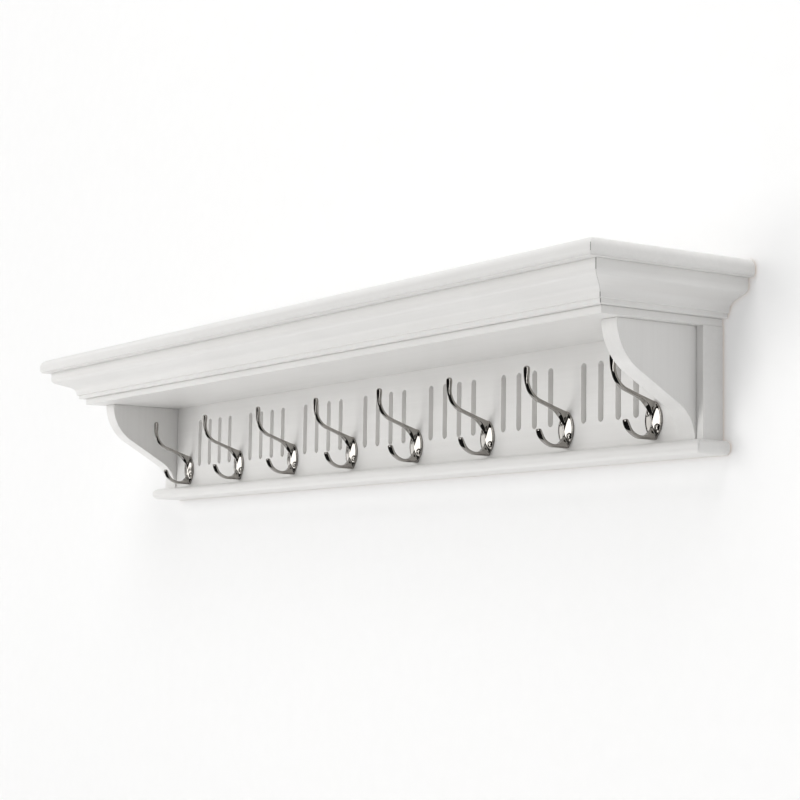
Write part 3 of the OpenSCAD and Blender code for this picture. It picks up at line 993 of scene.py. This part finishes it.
@dataclass
class Backboard:
    """The upright board: seven groups of four slots in front, and the fixings' housings behind."""

    groups: int = 7
    group_pitch: float = 0.160
    slots: int = 4
    slot_pitch: float = 0.032
    slot_width: float = 0.010
    slot_height: float = 0.072
    slot_depth: float = 0.008
    slot_drop: float = 0.023
    ease: float = 0.0007
    plate_gap: float = 0.0001
    pocket: Point = (0.012, 0.032)
    pocket_depth: float = 0.012
    screw_head: float = 0.0051
    screw_depth: float = 0.0025
    screw_drops: Point = (0.024, 0.063)
    overrun: float = 0.001

    def housing(self, name: str, middle: Vector, width: float, height: float, depth: float) -> Piece:
        """Makes the cutter of a round-ended recess in the back of the board.

        Args:
            name: The cutter's name.
            middle: The recess's middle, in the wall's plane.
            width: Width of the recess.
            height: Height over its round ends.
            depth: Depth from the back.

        Returns:
            The cutter.
        """
        straight = (height - width) / 2
        outline = [(middle.x + a, middle.z + end * straight + b) for end, start in ((1.0, 0.0), (-1.0, 180.0))
                   for a, b in arc((0.0, 0.0), width / 2, start, start + 180.0)]
        cutter = prism(name, *([(a, y, b) for a, b in outline] for y in (-depth, self.overrun)))
        turn_out(cutter, weld=1e-7)
        return cutter

    def housings(self, top: float) -> list[Piece]:
        """Makes every cutter: the keyhole plates' seats and pockets, and the corbel screws' seats.

        Args:
            top: Height of the board's upper edge.

        Returns:
            The cutters.
        """
        cutters = []
        for side in ("left", "right"):
            low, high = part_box("keyhole_plate_" + side)
            middle = (low + high) / 2
            size = high - low
            cutters.append(self.housing("plate_seat_" + side, middle, size.x + 2 * self.plate_gap,
                                        size.z + 2 * self.plate_gap, size.y + self.plate_gap))
            cutters.append(self.housing("pocket_" + side, middle, *self.pocket, self.pocket_depth))
            low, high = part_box("corbel_" + side)
            for drop in self.screw_drops:
                head = Vector(((low.x + high.x) / 2, 0.0, top - drop))
                wide = 2 * self.screw_head
                cutters.append(self.housing("screw_seat", head, wide, wide, self.screw_depth))
        return cutters

    def build(self, finishes: Finishes) -> None:
        """Makes the board.

        Args:
            finishes: The rack's finishes.
        """
        low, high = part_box("backboard")
        board = block("backboard_slotted", low, high)
        cutters = self.housings(high.z)
        for cutter in cutters:
            cut = board.modifiers.new(cutter.name, "BOOLEAN")
            cut.operation = "DIFFERENCE"
            cut.solver = "EXACT"
            cut.object = cutter
        settle(board)
        for cutter in cutters:
            bpy.data.objects.remove(cutter)
        half_run = ((self.groups - 1) * self.group_pitch + (self.slots - 1) * self.slot_pitch) / 2
        slotted_board().grow(board, {
            "Groups": self.groups, "Group pitch": self.group_pitch, "Slots": self.slots,
            "Slot pitch": self.slot_pitch, "Width": self.slot_width, "Height": self.slot_height,
            "Depth": self.slot_depth, "Material": finishes.paint[Way.ALONG_X],
            "First slot": (-half_run, low.y, high.z - self.slot_drop - self.slot_height / 2)})
        soften(board, self.ease)
        dress(board, finishes.paint[Way.ALONG_X], Slot.PAINTED, "backboard")


@dataclass
class Corbels:
    """The two scrolled brackets: an upper round and a lower hollow joined by a straight stretch."""

    toe: float = 0.002
    slope: float = 60.0
    upper_share: float = 0.59
    ease: float = 0.0011

    def outline(self, back: float, front: float, foot: float, head: float) -> list[Point]:
        """Gives a corbel's side view.

        Args:
            back: Y of the face on the backboard.
            front: Y of the furthest reach.
            foot: Z of the lower end.
            head: Z of the upper end.

        Returns:
            Points as Y and Z.
        """
        reach = back - front
        height = head - foot
        slope = math.radians(self.slope)
        radii = (height * math.sin(slope) - (reach - self.toe) * math.cos(slope)) / (1 - math.cos(slope))
        upper = radii * self.upper_share
        lower = radii - upper
        curve = arc((reach - upper, 0.0), upper, 0.0, -self.slope, 2 * ROUND_STEPS)
        curve += arc((self.toe + lower, -height), lower, 180.0 - self.slope, 180.0, 2 * ROUND_STEPS)
        return [(back - out, head + rise) for out, rise in [(0.0, 0.0), *curve, (0.0, -height)]]

    def build(self, finishes: Finishes) -> None:
        """Makes both corbels.

        Args:
            finishes: The rack's finishes.
        """
        for node in ("corbel_left", "corbel_right"):
            low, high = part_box(node)
            outline = self.outline(high.y, low.y, low.z, high.z)
            piece = prism(node + "_scroll", *([(x, y, z) for y, z in outline] for x in (low.x, high.x)))
            soften(piece, self.ease)
            dress(piece, finishes.paint[Way.ALONG_Z], Slot.PAINTED, node)


@dataclass
class Ledge:
    """The round-nosed ledge under the backboard."""

    nose: float = 0.0075
    corner: float = 0.0025

    def build(self, finishes: Finishes) -> None:
        """Makes the ledge.

        Args:
            finishes: The rack's finishes.
        """
        low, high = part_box("bottom_ledge")
        thick = high.z - low.z
        nose = [(self.nose - a, self.nose + b) for a, b in arc((0.0, 0.0), self.nose, -90.0, 0.0)]
        nose += [(self.nose - a, thick - self.nose + b) for a, b in arc((0.0, 0.0), self.nose, 0.0, 90.0)]
        piece = nosed_board("bottom_ledge_nosed", high.x, -low.y, low.z, nose, self.corner)
        dress(piece, finishes.paint[Way.ALONG_X], Slot.PAINTED, "bottom_ledge")


# Cast hooks, shaped as fields of signed distance, negative inside


def smooth_least(first: Array, second: Array, blend: float) -> Array:
    """Joins two fields with a fillet of about the size of blend."""
    share = np.clip(0.5 + 0.5 * (second - first) / blend, 0.0, 1.0)
    return second + (first - second) * share - blend * share * (1.0 - share)


def smooth_most(first: Array, second: Array, blend: float) -> Array:
    """Keeps what two fields share, with an eased edge of about the size of blend."""
    return -smooth_least(-first, -second, blend)


def round_most(first: Array, second: Array, radius: float) -> Array:
    """Keeps what two fields share, with an edge rounded to a radius.

    Args:
        first: One field.
        second: The other field.
        radius: Radius of the edge.

    Returns:
        The shared field.
    """
    a = first + radius
    b = second + radius
    outside = np.hypot(np.maximum(a, 0.0), np.maximum(b, 0.0))
    return np.minimum(np.maximum(a, b), 0.0) + outside - radius


def stretch_distance(p: Array, z: Array, start: Point, end: Point) -> Array:
    """Distance to a straight stretch in the hook's side view.

    Args:
        p: Reach of each place from the board.
        z: Height of each place.
        start: The stretch's first end.
        end: Its last end.

    Returns:
        The distances.
    """
    along = np.subtract(end, start)
    share = ((p - start[0]) * along[0] + (z - start[1]) * along[1]) / float(along @ along)
    share = np.clip(share, 0.0, 1.0)
    return np.hypot(p - start[0] - share * along[0], z - start[1] - share * along[1])


def bend_distance(p: Array, z: Array, centre: Point, radius: float, start: float, end: float) -> Array:
    """Distance to a bend in the hook's side view, between two angles in degrees.

    Args:
        p: Reach of each place from the board.
        z: Height of each place.
        centre: The bend's centre.
        radius: Its radius.
        start: Its lowest angle.
        end: Its highest angle.

    Returns:
        The distances.
    """
    a = p - centre[0]
    b = z - centre[1]
    angle = np.degrees(np.arctan2(b, a))
    held = np.radians(np.clip(angle, start, end))
    return np.hypot(a - radius * np.cos(held), b - radius * np.sin(held))


def eased_width(at: Array, stations: Sequence[Point]) -> Array:
    """Half-width along an arm, eased between stations of place and half-width.

    Args:
        at: Places along the arm.
        stations: Known places, in order, with their half-widths.

    Returns:
        The half-width at each place.
    """
    places = np.array([s[0] for s in stations])
    widths = np.array([s[1] for s in stations])
    held = np.clip(at, places[0], places[-1])
    index = np.clip(np.searchsorted(places, held, side="right") - 1, 0, len(places) - 2)
    share = (held - places[index]) / (places[index + 1] - places[index])
    share = share * share * (3.0 - 2.0 * share)
    return widths[index] + (widths[index + 1] - widths[index]) * share


@dataclass
class HookField:
    """Shape of one double hook. X is across, P is out from the backboard and Z up from the plate's middle."""

    plate_height: float = 0.044
    plate_width: float = 0.029
    rim: float = 0.0021
    rim_band: float = 0.0028
    ridge: float = 0.0045
    hollow: float = 1.02
    brow: float = 0.0009
    crest: float = 0.0012
    thickness: float = 0.0040
    edge: float = 0.0010
    camber: float = 0.00025
    upper_reach: float = 0.0605
    upper_rise: float = 0.0725
    upper_root: float = 0.0183
    upper_bend: float = 0.028
    upper_slope: float = 18.4
    upper_tip: float = 0.0049
    waist: float = 0.0032
    root: float = 0.005
    flare: float = 0.009
    waist_from: Point = (0.018, 0.030)
    web: float = 0.028
    lower_reach: float = 0.0435
    lower_bend: float = 0.024
    lower_slope: float = 60.0
    lower_run: float = 0.008
    lower_tip: float = 0.0046
    low_waist_from: float = 0.016
    low_web: float = 0.014
    foot_drop: float = 0.0005
    fillet: float = 0.0022
    screw: Point = (0.0083, -0.0085)
    screw_seat: float = 0.0020
    screw_clear: float = 0.0037
    screw_ease: float = 0.0003

    def plate(self, x: Array, p: Array, z: Array) -> Array:
        """Field of the pointed-oval plate, its flanks hollowed up to the ridge.

        Args:
            x: Place across.
            p: Place out from the backboard.
            z: Place up from the plate's middle.

        Returns:
            Signed distance, near enough, at each place.
        """
        half = self.plate_width / 2
        radius = ((self.plate_height / 2) ** 2 + half ** 2) / self.plate_width
        across = (np.sqrt(x * x + self.crest ** 2) - self.crest) * half
        across /= math.hypot(half, self.crest) - self.crest
        oval = np.hypot(across + radius - half, z) - radius
        reach = np.sqrt(np.maximum(radius ** 2 - z * z, 0.0)) - radius + half
        share = np.clip(1.0 - across / np.maximum(reach - self.rim_band, half / 4), 0.0, 1.0)
        height = self.rim + (self.ridge - self.rim) * share ** self.hollow
        return smooth_most(oval, p - height, self.brow)

    def cambered(self, x: Array, width: Array) -> Array:
        """How much thinner an arm is away from its middle line."""
        return self.camber * np.clip(x / np.maximum(width, self.waist), -1.0, 1.0) ** 2

    def upper_arm(self, x: Array, p: Array, z: Array) -> Array:
        """Field of the long arm with the web under its root.

        Args:
            x: Place across.
            p: Place out from the backboard.
            z: Place up from the plate's middle.

        Returns:
            Signed distance, near enough, at each place.
        """
        slope = math.radians(self.upper_slope)
        start = self.upper_reach - self.upper_bend * (1 - math.sin(slope))
        start_z = self.upper_root + start * math.tan(slope)
        centre = (self.upper_reach - self.upper_bend, start_z + self.upper_bend * math.cos(slope))
        half = self.thickness / 2
        side = stretch_distance(p, z, (0.0, self.upper_root), (start, start_z))
        side = np.minimum(side, bend_distance(p, z, centre, self.upper_bend, self.upper_slope - 90.0, 0.0))
        tip = (self.upper_reach, self.upper_rise - half)
        side = np.minimum(side, stretch_distance(p, z, (self.upper_reach, centre[1]), tip)) - half
        under = self.upper_root - half / math.cos(slope)
        web_p = self.ridge + self.web
        web_z = under + web_p * math.tan(slope) - self.web / math.cos(slope)
        above = (z - self.upper_root - p * math.tan(slope)) * math.cos(slope)
        web = np.maximum(self.web - np.hypot(p - web_p, z - web_z), above)
        web = np.maximum(web, np.maximum(p - web_p + self.web * math.sin(slope), web_z - z))
        side = smooth_least(side, web, self.thickness / 4)
        end = self.upper_rise - self.upper_tip
        root_z, waist_z = self.waist_from
        width = eased_width(z, [(web_z - half, 0.0), (root_z, self.root), (waist_z, self.waist),
                                (end - 2 * self.flare, self.waist), (end, self.upper_tip)])
        front = np.where(z > end, np.hypot(x, z - end) - self.upper_tip, np.abs(x) - width)
        return round_most(side + self.cambered(x, width), front, self.edge)

    def lower_arm(self, x: Array, p: Array, z: Array) -> Array:
        """Field of the short arm with the web over its root.

        Args:
            x: Place across.
            p: Place out from the backboard.
            z: Place up from the plate's middle.

        Returns:
            Signed distance, near enough, at each place.
        """
        half = self.thickness / 2
        level = half - self.plate_height / 2 - self.foot_drop
        slope = math.radians(self.lower_slope)
        lean = (math.cos(slope), math.sin(slope))
        centre = (self.lower_reach - self.lower_run * lean[0] - self.lower_bend * lean[1],
                  level + self.lower_bend)
        knee = (centre[0] + self.lower_bend * lean[1], centre[1] - self.lower_bend * lean[0])
        stop = self.lower_run - half
        tip = (knee[0] + stop * lean[0], knee[1] + stop * lean[1])
        side = stretch_distance(p, z, (0.0, level), (centre[0], level))
        side = np.minimum(side, bend_distance(p, z, centre, self.lower_bend, -90.0, self.lower_slope - 90.0))
        side = np.minimum(side, stretch_distance(p, z, knee, tip)) - half
        web_p = self.ridge + self.low_web
        web_z = level + half + self.low_web
        web = np.maximum(self.low_web - np.hypot(p - web_p, z - web_z), level - z)
        web = np.maximum(web, np.maximum(p - web_p, z - web_z))
        narrow = eased_width(-z, [(-web_z, 0.0), (-level - half, self.root)])
        end = self.lower_reach + half - self.lower_tip
        width = eased_width(p, [(0.0, self.root), (self.low_waist_from, self.waist),
                                (end - self.flare, self.waist), (end, self.lower_tip)])
        front = np.where(p > end, np.hypot(x, p - end) - self.lower_tip, np.abs(x) - width)
        arm = round_most(side + self.cambered(x, width), front, self.edge)
        web = round_most(web, np.abs(x) - np.minimum(narrow, width), self.edge / 2)
        return smooth_least(arm, web, self.edge)

    def value(self, place: Array) -> Array:
        """Field of the whole hook.

        Args:
            place: X, P and Z along the last axis.

        Returns:
            Signed distance, near enough, at each place.
        """
        x, p, z = place[..., 0], place[..., 1], place[..., 2]
        body = smooth_least(self.plate(x, p, z), self.upper_arm(x, p, z), self.fillet)
        body = smooth_least(body, self.lower_arm(x, p, z), self.fillet)
        for side in (-1.0, 1.0):
            off = np.hypot(x - side * self.screw[0], z - side * self.screw[1])
            seat = np.maximum(off - self.screw_clear, self.screw_seat - p)
            body = smooth_most(body, -seat, self.screw_ease)
        return np.maximum(body, -p)


def surface_net(shape: HookField, low: Array, high: Array, step: float) -> tuple[Array, Array]:
    """Finds the zero surface of a field as quads, and draws its points onto the surface.

    Args:
        shape: The field.
        low: Lowest corner of the searched box.
        high: Highest corner of that box.
        step: Size of a cell.

    Returns:
        Points and quads.
    """
    counts = np.ceil((high - low) / step).astype(int) + 1
    axes = [low[k] + step * np.arange(counts[k]) for k in range(3)]
    grid = np.stack(np.meshgrid(*axes, indexing="ij"), axis=-1)
    field = shape.value(grid)
    cells = tuple(counts - 1)
    corner = {c: field[c[0]:c[0] + cells[0], c[1]:c[1] + cells[1], c[2]:c[2] + cells[2]]
              for c in product((0, 1), repeat=3)}
    total = np.zeros((*cells, 3))
    hits = np.zeros(cells, int)
    for a, b in product(corner, repeat=2):
        if sum(b) - sum(a) != 1 or any(q < r for q, r in zip(b, a)):
            continue
        crossed = (corner[a] < 0.0) != (corner[b] < 0.0)
        share = corner[a][crossed] / (corner[a][crossed] - corner[b][crossed])
        total[crossed] += np.array(a) + share[:, None] * (np.array(b) - np.array(a))
        hits += crossed
    active = hits > 0
    number = np.full(cells, -1)
    number[active] = np.arange(active.sum())
    points = low + step * (np.argwhere(active) + total[active] / hits[active][:, None])
    quads = []
    for axis in range(3):
        u, v = [k for k in range(3) if k != axis]
        near = np.take(field, range(0, counts[axis] - 1), axis)
        far = np.take(field, range(1, counts[axis]), axis)
        crossed = np.argwhere((near < 0.0) != (far < 0.0))
        crossed = crossed[(crossed[:, u] > 0) & (crossed[:, v] > 0)
                          & (crossed[:, u] < cells[u]) & (crossed[:, v] < cells[v])]
        ring = []
        for back_u, back_v in ((1, 1), (0, 1), (0, 0), (1, 0)):
            cell = crossed.copy()
            cell[:, u] -= back_u
            cell[:, v] -= back_v
            ring.append(number[tuple(cell.T)])
        quads.append(np.stack(ring, axis=1))
    nudge = step / 20
    least_steep = 0.25
    passes = 3
    for _ in range(passes):
        here = shape.value(points)
        rises = [shape.value(points + nudge * unit) - here for unit in np.eye(3)]
        slope = np.stack(rises, axis=1) / nudge
        steep = np.maximum((slope ** 2).sum(axis=1), least_steep)
        points -= np.clip(here / steep, -step / 2, step / 2)[:, None] * slope
    return points, np.concatenate(quads)


@dataclass
class CoatHooks:
    """The row of cast double hooks and the screws that hold them."""

    count: int = 8
    pitch: float = 0.160
    step: float = 0.00062
    quick_step: float = 0.0008
    margin: float = 0.0012
    head_radius: float = 0.0032
    head_depth: float = 0.0015
    head_crown: float = 0.0006
    head_edge: float = 0.0001
    head_level: float = 0.0031
    lean: float = 11.0
    shank_radius: float = 0.0018
    length: float = 0.019
    recess: Triple = (0.0034, 0.0024, 0.0008)
    seed: int = 7

    def build(self, finishes: Finishes) -> None:
        """Makes the hooks and their screws.

        Args:
            finishes: The rack's finishes.
        """
        shape = HookField()
        low = np.array([-shape.plate_width / 2, 0.0, -shape.plate_height / 2 - shape.thickness]) - self.margin
        high = np.array([shape.plate_width / 2, shape.upper_reach + shape.thickness / 2, shape.upper_rise])
        step = self.step
        points, quads = surface_net(shape, low, high + self.margin, step)
        face_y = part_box("backboard")[0].y
        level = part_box("hook_1")[0].z + shape.plate_height / 2 + shape.foot_drop
        for k in range(self.count):
            x = (k - (self.count - 1) / 2) * self.pitch
            placed = np.stack([points[:, 0] + x, face_y - points[:, 1], points[:, 2] + level], axis=1)
            hook = mesh_piece(f"hook_{k + 1}_cast", placed, quads)
            dress(hook, finishes.nickel, Slot.NICKEL, f"hook_{k + 1}")
        self.screws(finishes, face_y, level, shape.screw)

    def screws(self, finishes: Finishes, face_y: float, level: float, off: Point) -> None:
        """Makes the hooks' screws.

        Args:
            finishes: The rack's finishes.
            face_y: Y of the backboard's face.
            level: Z of the plates' middles.
            off: The low right screw's place from its plate's middle, as X and Z.
        """
        dome = (self.head_radius ** 2 + self.head_crown ** 2) / (2 * self.head_crown)
        steps = range(1, ROUND_STEPS // 2 + 1)
        radii = [self.head_radius * k / len(steps) for k in steps]
        profile = [(r, dome - math.sqrt(dome ** 2 - r ** 2) - self.head_crown) for r in radii]
        profile += [(self.head_radius, self.head_edge), (self.shank_radius, self.head_depth),
                    (self.shank_radius, self.length - 2 * self.shank_radius)]
        screw = self.turned("hook_screws_raised", profile, -self.head_crown, self.length)
        count = self.count - 1
        screw_row().grow(screw, {
            "Recess": self.recess, "Plates": self.count, "Pitch": self.pitch,
            "First plate": (-count * self.pitch / 2, face_y - self.head_level, level),
            "First screw": (off[0], 0.0, off[1]), "Next screw": (-2 * off[0], 0.0, -2 * off[1]),
            "Lean": math.radians(self.lean), "Seed": self.seed, "Material": finishes.nickel})
        soften(screw)
        dress(screw, finishes.nickel, Slot.NICKEL, "hook_screws")

    def turned(self, name: str, profile: Sequence[Point], top: float, tip: float) -> Piece:
        """Turns a profile about the Y axis.

        Args:
            name: The piece's name.
            profile: Radius and Y of each ring, from the head down.
            top: Y of the head's middle.
            tip: Y of the point.

        Returns:
            The closed piece.
        """
        sides = 3 * ROUND_STEPS
        spokes = [2 * math.pi * k / sides for k in range(sides)]
        points = [(r * math.cos(a), y, r * math.sin(a)) for r, y in profile for a in spokes]
        faces = lofted(len(profile), sides)
        first, last = len(points), len(points) + 1
        points += [(0.0, top, 0.0), (0.0, tip, 0.0)]
        base = (len(profile) - 1) * sides
        faces += [(first, k, (k + 1) % sides) for k in range(sides)]
        faces += [(last, base + k, base + (k + 1) % sides) for k in range(sides)]
        return mesh_piece(name, points, faces)


@dataclass
class HiddenFrame:
    """What the shelf holds inside, and the fixings behind: shown as built, in their own finishes."""

    ribs: int = 5

    def build(self, finishes: Finishes) -> None:
        """Dresses the nodes.

        Args:
            finishes: The rack's finishes.
        """
        paint_node("hanging_cleat", finishes.pine_x)
        for k in range(self.ribs):
            paint_node(f"rib_{k + 1}", finishes.pine_y)
        for node in ("ledge_dowels", "top_dowels"):
            paint_node(node, finishes.beech)
        for node in ("case_screws", "corbel_screws", "keyhole_screws", "keyhole_plate_left",
                     "keyhole_plate_right"):
            paint_node(node, finishes.zinc)


# Camera, light and backdrop


def aim(turn: float, rise: float) -> Vector:
    """Unit vector by its degrees right of straight out of the wall and its degrees up."""
    turn, rise = math.radians(turn), math.radians(rise)
    return Vector((math.sin(turn) * math.cos(rise), -math.cos(turn) * math.cos(rise), math.sin(rise)))


def gather(name: str, pieces: Iterable[Piece]) -> bpy.types.Collection:
    """Gathers pieces for the lamps that are linked to them alone.

    Args:
        name: The group's name.
        pieces: What goes into it.

    Returns:
        The group.
    """
    group = bpy.data.collections.new(name)
    for piece in pieces:
        group.objects.link(piece)
    return group


@dataclass
class Studio:
    """A white wall and floor, soft lamps and the camera. Angles are in degrees."""

    camera_place: Triple = (2.3604, -1.56322, -0.26193)
    heading: float = -56.5496
    pitch: float = 5.9385
    roll: float = 0.8542
    lens: float = 93.931
    sensor: float = 36.0
    wall_half: float = 4.0
    wall_gap: float = 0.0022
    wall_colour: Triple = (0.77, 0.77, 0.77)
    floor_colour: Triple = (0.8, 0.8, 0.8)
    floor_drop: float = 1.5
    plaster_scale: float = 40.0
    plaster_contrast: Point = (0.3, 0.7)
    plaster_tone: Point = (0.985, 1.0)
    # Painted light on the backdrop: its glow at the left and at the right end of the glow's reach
    glow: Point = (0.14, 0.21)
    glow_reach: float = 1.2
    seen_glow: float = 0.04
    fill: float = 0.28
    seen_white: float = 0.95
    warm: Triple = (1.0, 0.995, 0.985)
    far: float = 8.5
    tent_reach: float = 9.5
    tent_half: float = 116.0
    tent_rise: Point = (-60.0, 62.0)
    tent_columns: int = 24
    tent_rows: int = 12
    card_reach: Point = (0.45, 3.9)
    card_rise: float = 0.12
    dark: Triple = (0.02, 0.02, 0.02)

    def stand(self, points: Sequence[Triple], faces: Sequence[tuple[int, ...]], material: Material) -> Piece:
        """Makes one piece of the studio, named after its material.

        Args:
            points: Its points.
            faces: Its faces, by their points.
            material: Its finish.

        Returns:
            The piece.
        """
        mesh = bpy.data.meshes.new(material.name)
        mesh.from_pydata(points, [], faces)
        mesh.materials.append(material)
        piece = bpy.data.objects.new(material.name, mesh)
        bpy.context.scene.collection.objects.link(piece)
        piece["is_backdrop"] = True
        return piece

    def backdrop(self, name: str, colour: Triple, corners: Sequence[Triple]) -> Piece:
        """Makes a one-sided backdrop with a faint glow of its own, which is clear from behind. The glow is
        painted light: it lights the rack too, and it grows towards +X so that the wall is brighter on the
        right.

        Args:
            name: The backdrop's name.
            colour: Its colour.
            corners: Its four corners, with its face towards the object.

        Returns:
            The backdrop.
        """
        graph = Surface(name)
        plaster = graph.noise(graph.place(), self.plaster_scale, detail=3.0)
        plaster = graph.remap(plaster, self.plaster_contrast, self.plaster_tone)
        face = graph.node("ShaderNodeBsdfDiffuse", {"Color": graph.mix(plaster, BLACK, colour)}).outputs[0]
        seen = graph.node("ShaderNodeLightPath").outputs["Is Camera Ray"]
        # Painted light: the glow grows from left to right along X, and the camera sees a little more of it
        white = graph.remap(graph.axis(graph.place(), "X"), (-self.glow_reach, self.glow_reach), self.glow)
        white = graph.total((white, 1.0), (seen, self.seen_glow))
        glow = graph.node("ShaderNodeEmission", {"Strength": white}).outputs[0]
        lit = graph.node("ShaderNodeAddShader", {0: face, 1: glow}).outputs[0]
        behind = graph.node("ShaderNodeNewGeometry").outputs["Backfacing"]
        clear = graph.node("ShaderNodeBsdfTransparent").outputs[0]
        mixed = graph.node("ShaderNodeMixShader", {0: behind, 1: lit, 2: clear}).outputs[0]
        return self.stand(corners, [(0, 1, 2, 3)], graph.close(mixed))

    def lamp(self, name: str, place: Vector, target: Vector, size: Point, power: float,
             colour: Triple = WHITE, flags: Flags | None = None) -> None:
        """Hangs a soft lamp that the camera doesn't see.

        Args:
            name: The lamp's name.
            place: Where it hangs.
            target: What it faces.
            size: Its width and height.
            power: Its power in watts.
            colour: Its colour.
            flags: The only pieces that it lights, and the only ones that stop its light.
        """
        data = bpy.data.lights.new(name, "AREA")
        data.shape = "RECTANGLE"
        data.size, data.size_y = size
        data.energy = power
        data.color = colour
        lamp = bpy.data.objects.new(name, data)
        lamp.location = place
        lamp.rotation_mode = "QUATERNION"
        lamp.rotation_quaternion = (target - place).to_track_quat("-Z", "Y")
        lamp.visible_camera = False
        if flags is not None:
            lamp.light_linking.receiver_collection, lamp.light_linking.blocker_collection = flags
        bpy.context.scene.collection.objects.link(lamp)

    def window(self, name: str, turn: Point, rise: Point, share: float, flags: Flags | None = None) -> None:
        """Hangs a large far lamp, as a studio window.

        Args:
            name: The lamp's name.
            turn: Its two sides, in degrees right of straight out of the wall.
            rise: Its lower and upper edge, in degrees up.
            share: Its light on a face turned to it, as a share of a white room's.
            flags: The only pieces that it lights, and the only ones that stop its light.
        """
        wide, high = (2 * self.far * math.tan(math.radians(end - start) / 2) for start, end in (turn, rise))
        place = self.far * aim(sum(turn) / 2, sum(rise) / 2)
        self.lamp(name, place, Vector(), (wide, high), share * (math.pi * self.far) ** 2, self.warm, flags)

    def light(self) -> None:
        """Hangs the lamps round the rack, once its pieces and the wall are there."""
        low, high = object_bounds()
        middle = (low + high) / 2
        objects = bpy.context.scene.objects
        woodwork = gather("woodwork", [piece for piece in objects if piece.type == "MESH" and any(
            finish and finish.name.startswith("satin_paint") for finish in piece.data.materials)])
        wood = (woodwork, woodwork)
        wall = (gather("wall", [objects["wall"]]), woodwork)
        self.window("key", turn=(-40.0, -9.0), rise=(-18.0, 24.0), share=0.465)
        self.window("side", turn=(-90.0, -64.0), rise=(-18.0, 24.0), share=0.19)
        self.window("sky", turn=(4.0, 34.0), rise=(40.0, 62.0), share=0.29, flags=wall)
        self.window("low_side", turn=(-90.0, -62.0), rise=(-46.0, -18.0), share=0.11, flags=wood)
        self.window("high_side", turn=(-90.0, -62.0), rise=(22.0, 46.0), share=0.07, flags=wood)
        right_end = Vector((high.x, low.y / 2, high.z))
        self.lamp("top", Vector((0.4, -0.9, 2.3)), middle, size=(2.6, 0.9), power=6.0)
        self.lamp("end", Vector((1.0, -0.45, 2.1)), right_end, size=(0.8, 0.8), power=13.0, flags=wood)
        self.lamp("right", Vector((2.3, -1.3, 0.15)), middle, size=(0.9, 1.2), power=1.8)

    def dark_tent(self) -> None:
        """Puts a dark tent behind the lamps and a dark card over the floor, for polished metal to reflect."""
        turns = np.linspace(-self.tent_half, self.tent_half, self.tent_columns + 1)
        rises = np.linspace(*self.tent_rise, self.tent_rows + 1)
        points = [tuple(self.tent_reach * aim(turn, rise)) for rise in rises for turn in turns]
        faces = lofted(len(rises), len(turns), closed=False)
        near, far = self.card_reach
        level = self.card_rise - self.floor_drop
        faces.append(tuple(range(len(points), len(points) + 4)))
        points += [(-far, -near, level), (far, -near, level), (far, -far, level), (-far, -far, level)]
        graph = Surface("dark_tent")
        face = graph.node("ShaderNodeBsdfDiffuse", {"Color": (*self.dark, 1.0)})
        tent = self.stand(points, faces, graph.close(face.outputs[0]))
        tent.visible_camera = False
        tent.visible_diffuse = False
        tent.visible_shadow = False

    def world(self) -> None:
        """Lights the rack evenly, in front of a white background."""
        world = bpy.data.worlds.new("studio")
        world.use_nodes = True
        graph = Graph(world.node_tree)
        path = graph.node("ShaderNodeLightPath").outputs
        seen = graph.math("MAXIMUM", path["Is Camera Ray"], path["Is Glossy Ray"])
        seen = graph.math("MAXIMUM", seen, path["Is Transmission Ray"])
        strength = graph.remap(seen, (0.0, 1.0), (self.fill, self.seen_white))
        light = graph.node("ShaderNodeBackground", {"Color": (*WHITE, 1.0), "Strength": strength})
        graph.node("ShaderNodeOutputWorld", {"Surface": light.outputs[0]})
        bpy.context.scene.world = world

    def camera(self) -> None:
        """Stands the camera where the photograph was taken. At a heading of 0 it would face the wall."""
        data = bpy.data.cameras.new("camera")
        data.lens = self.lens
        data.sensor_width = self.sensor
        camera = bpy.data.objects.new("camera", data)
        level = aim(180.0 - self.heading, self.pitch).to_track_quat("-Z", "Y")
        camera.location = self.camera_place
        camera.rotation_mode = "QUATERNION"
        camera.rotation_quaternion = level @ Quaternion((0.0, 0.0, 1.0), math.radians(self.roll))
        bpy.context.scene.collection.objects.link(camera)
        bpy.context.scene.camera = camera

    def build(self) -> None:
        """Makes the whole studio."""
        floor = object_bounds()[0].z - self.floor_drop
        wide = self.wall_half
        gap = self.wall_gap
        self.backdrop("wall", self.wall_colour, [
            (-wide, gap, floor), (wide, gap, floor), (wide, gap, wide), (-wide, gap, wide)])
        self.backdrop("floor", self.floor_colour, [
            (-wide, -wide, floor), (wide, -wide, floor), (wide, wide, floor), (-wide, wide, floor)])
        self.light()
        self.dark_tent()
        self.world()
        self.camera()
        bpy.context.scene.view_settings.view_transform = "Standard"


def main() -> None:
    """Builds the rack, then the studio round it."""
    logging.basicConfig(level=logging.INFO, format="%(message)s", stream=sys.stdout)
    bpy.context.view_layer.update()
    finishes = Finishes()
    for assembly in (Shelf(), Backboard(), Corbels(), Ledge(), CoatHooks(), HiddenFrame()):
        log.info("building %s", type(assembly).__name__)
        assembly.build(finishes)
    Studio().build()


if __name__ == "__main__":
    main()
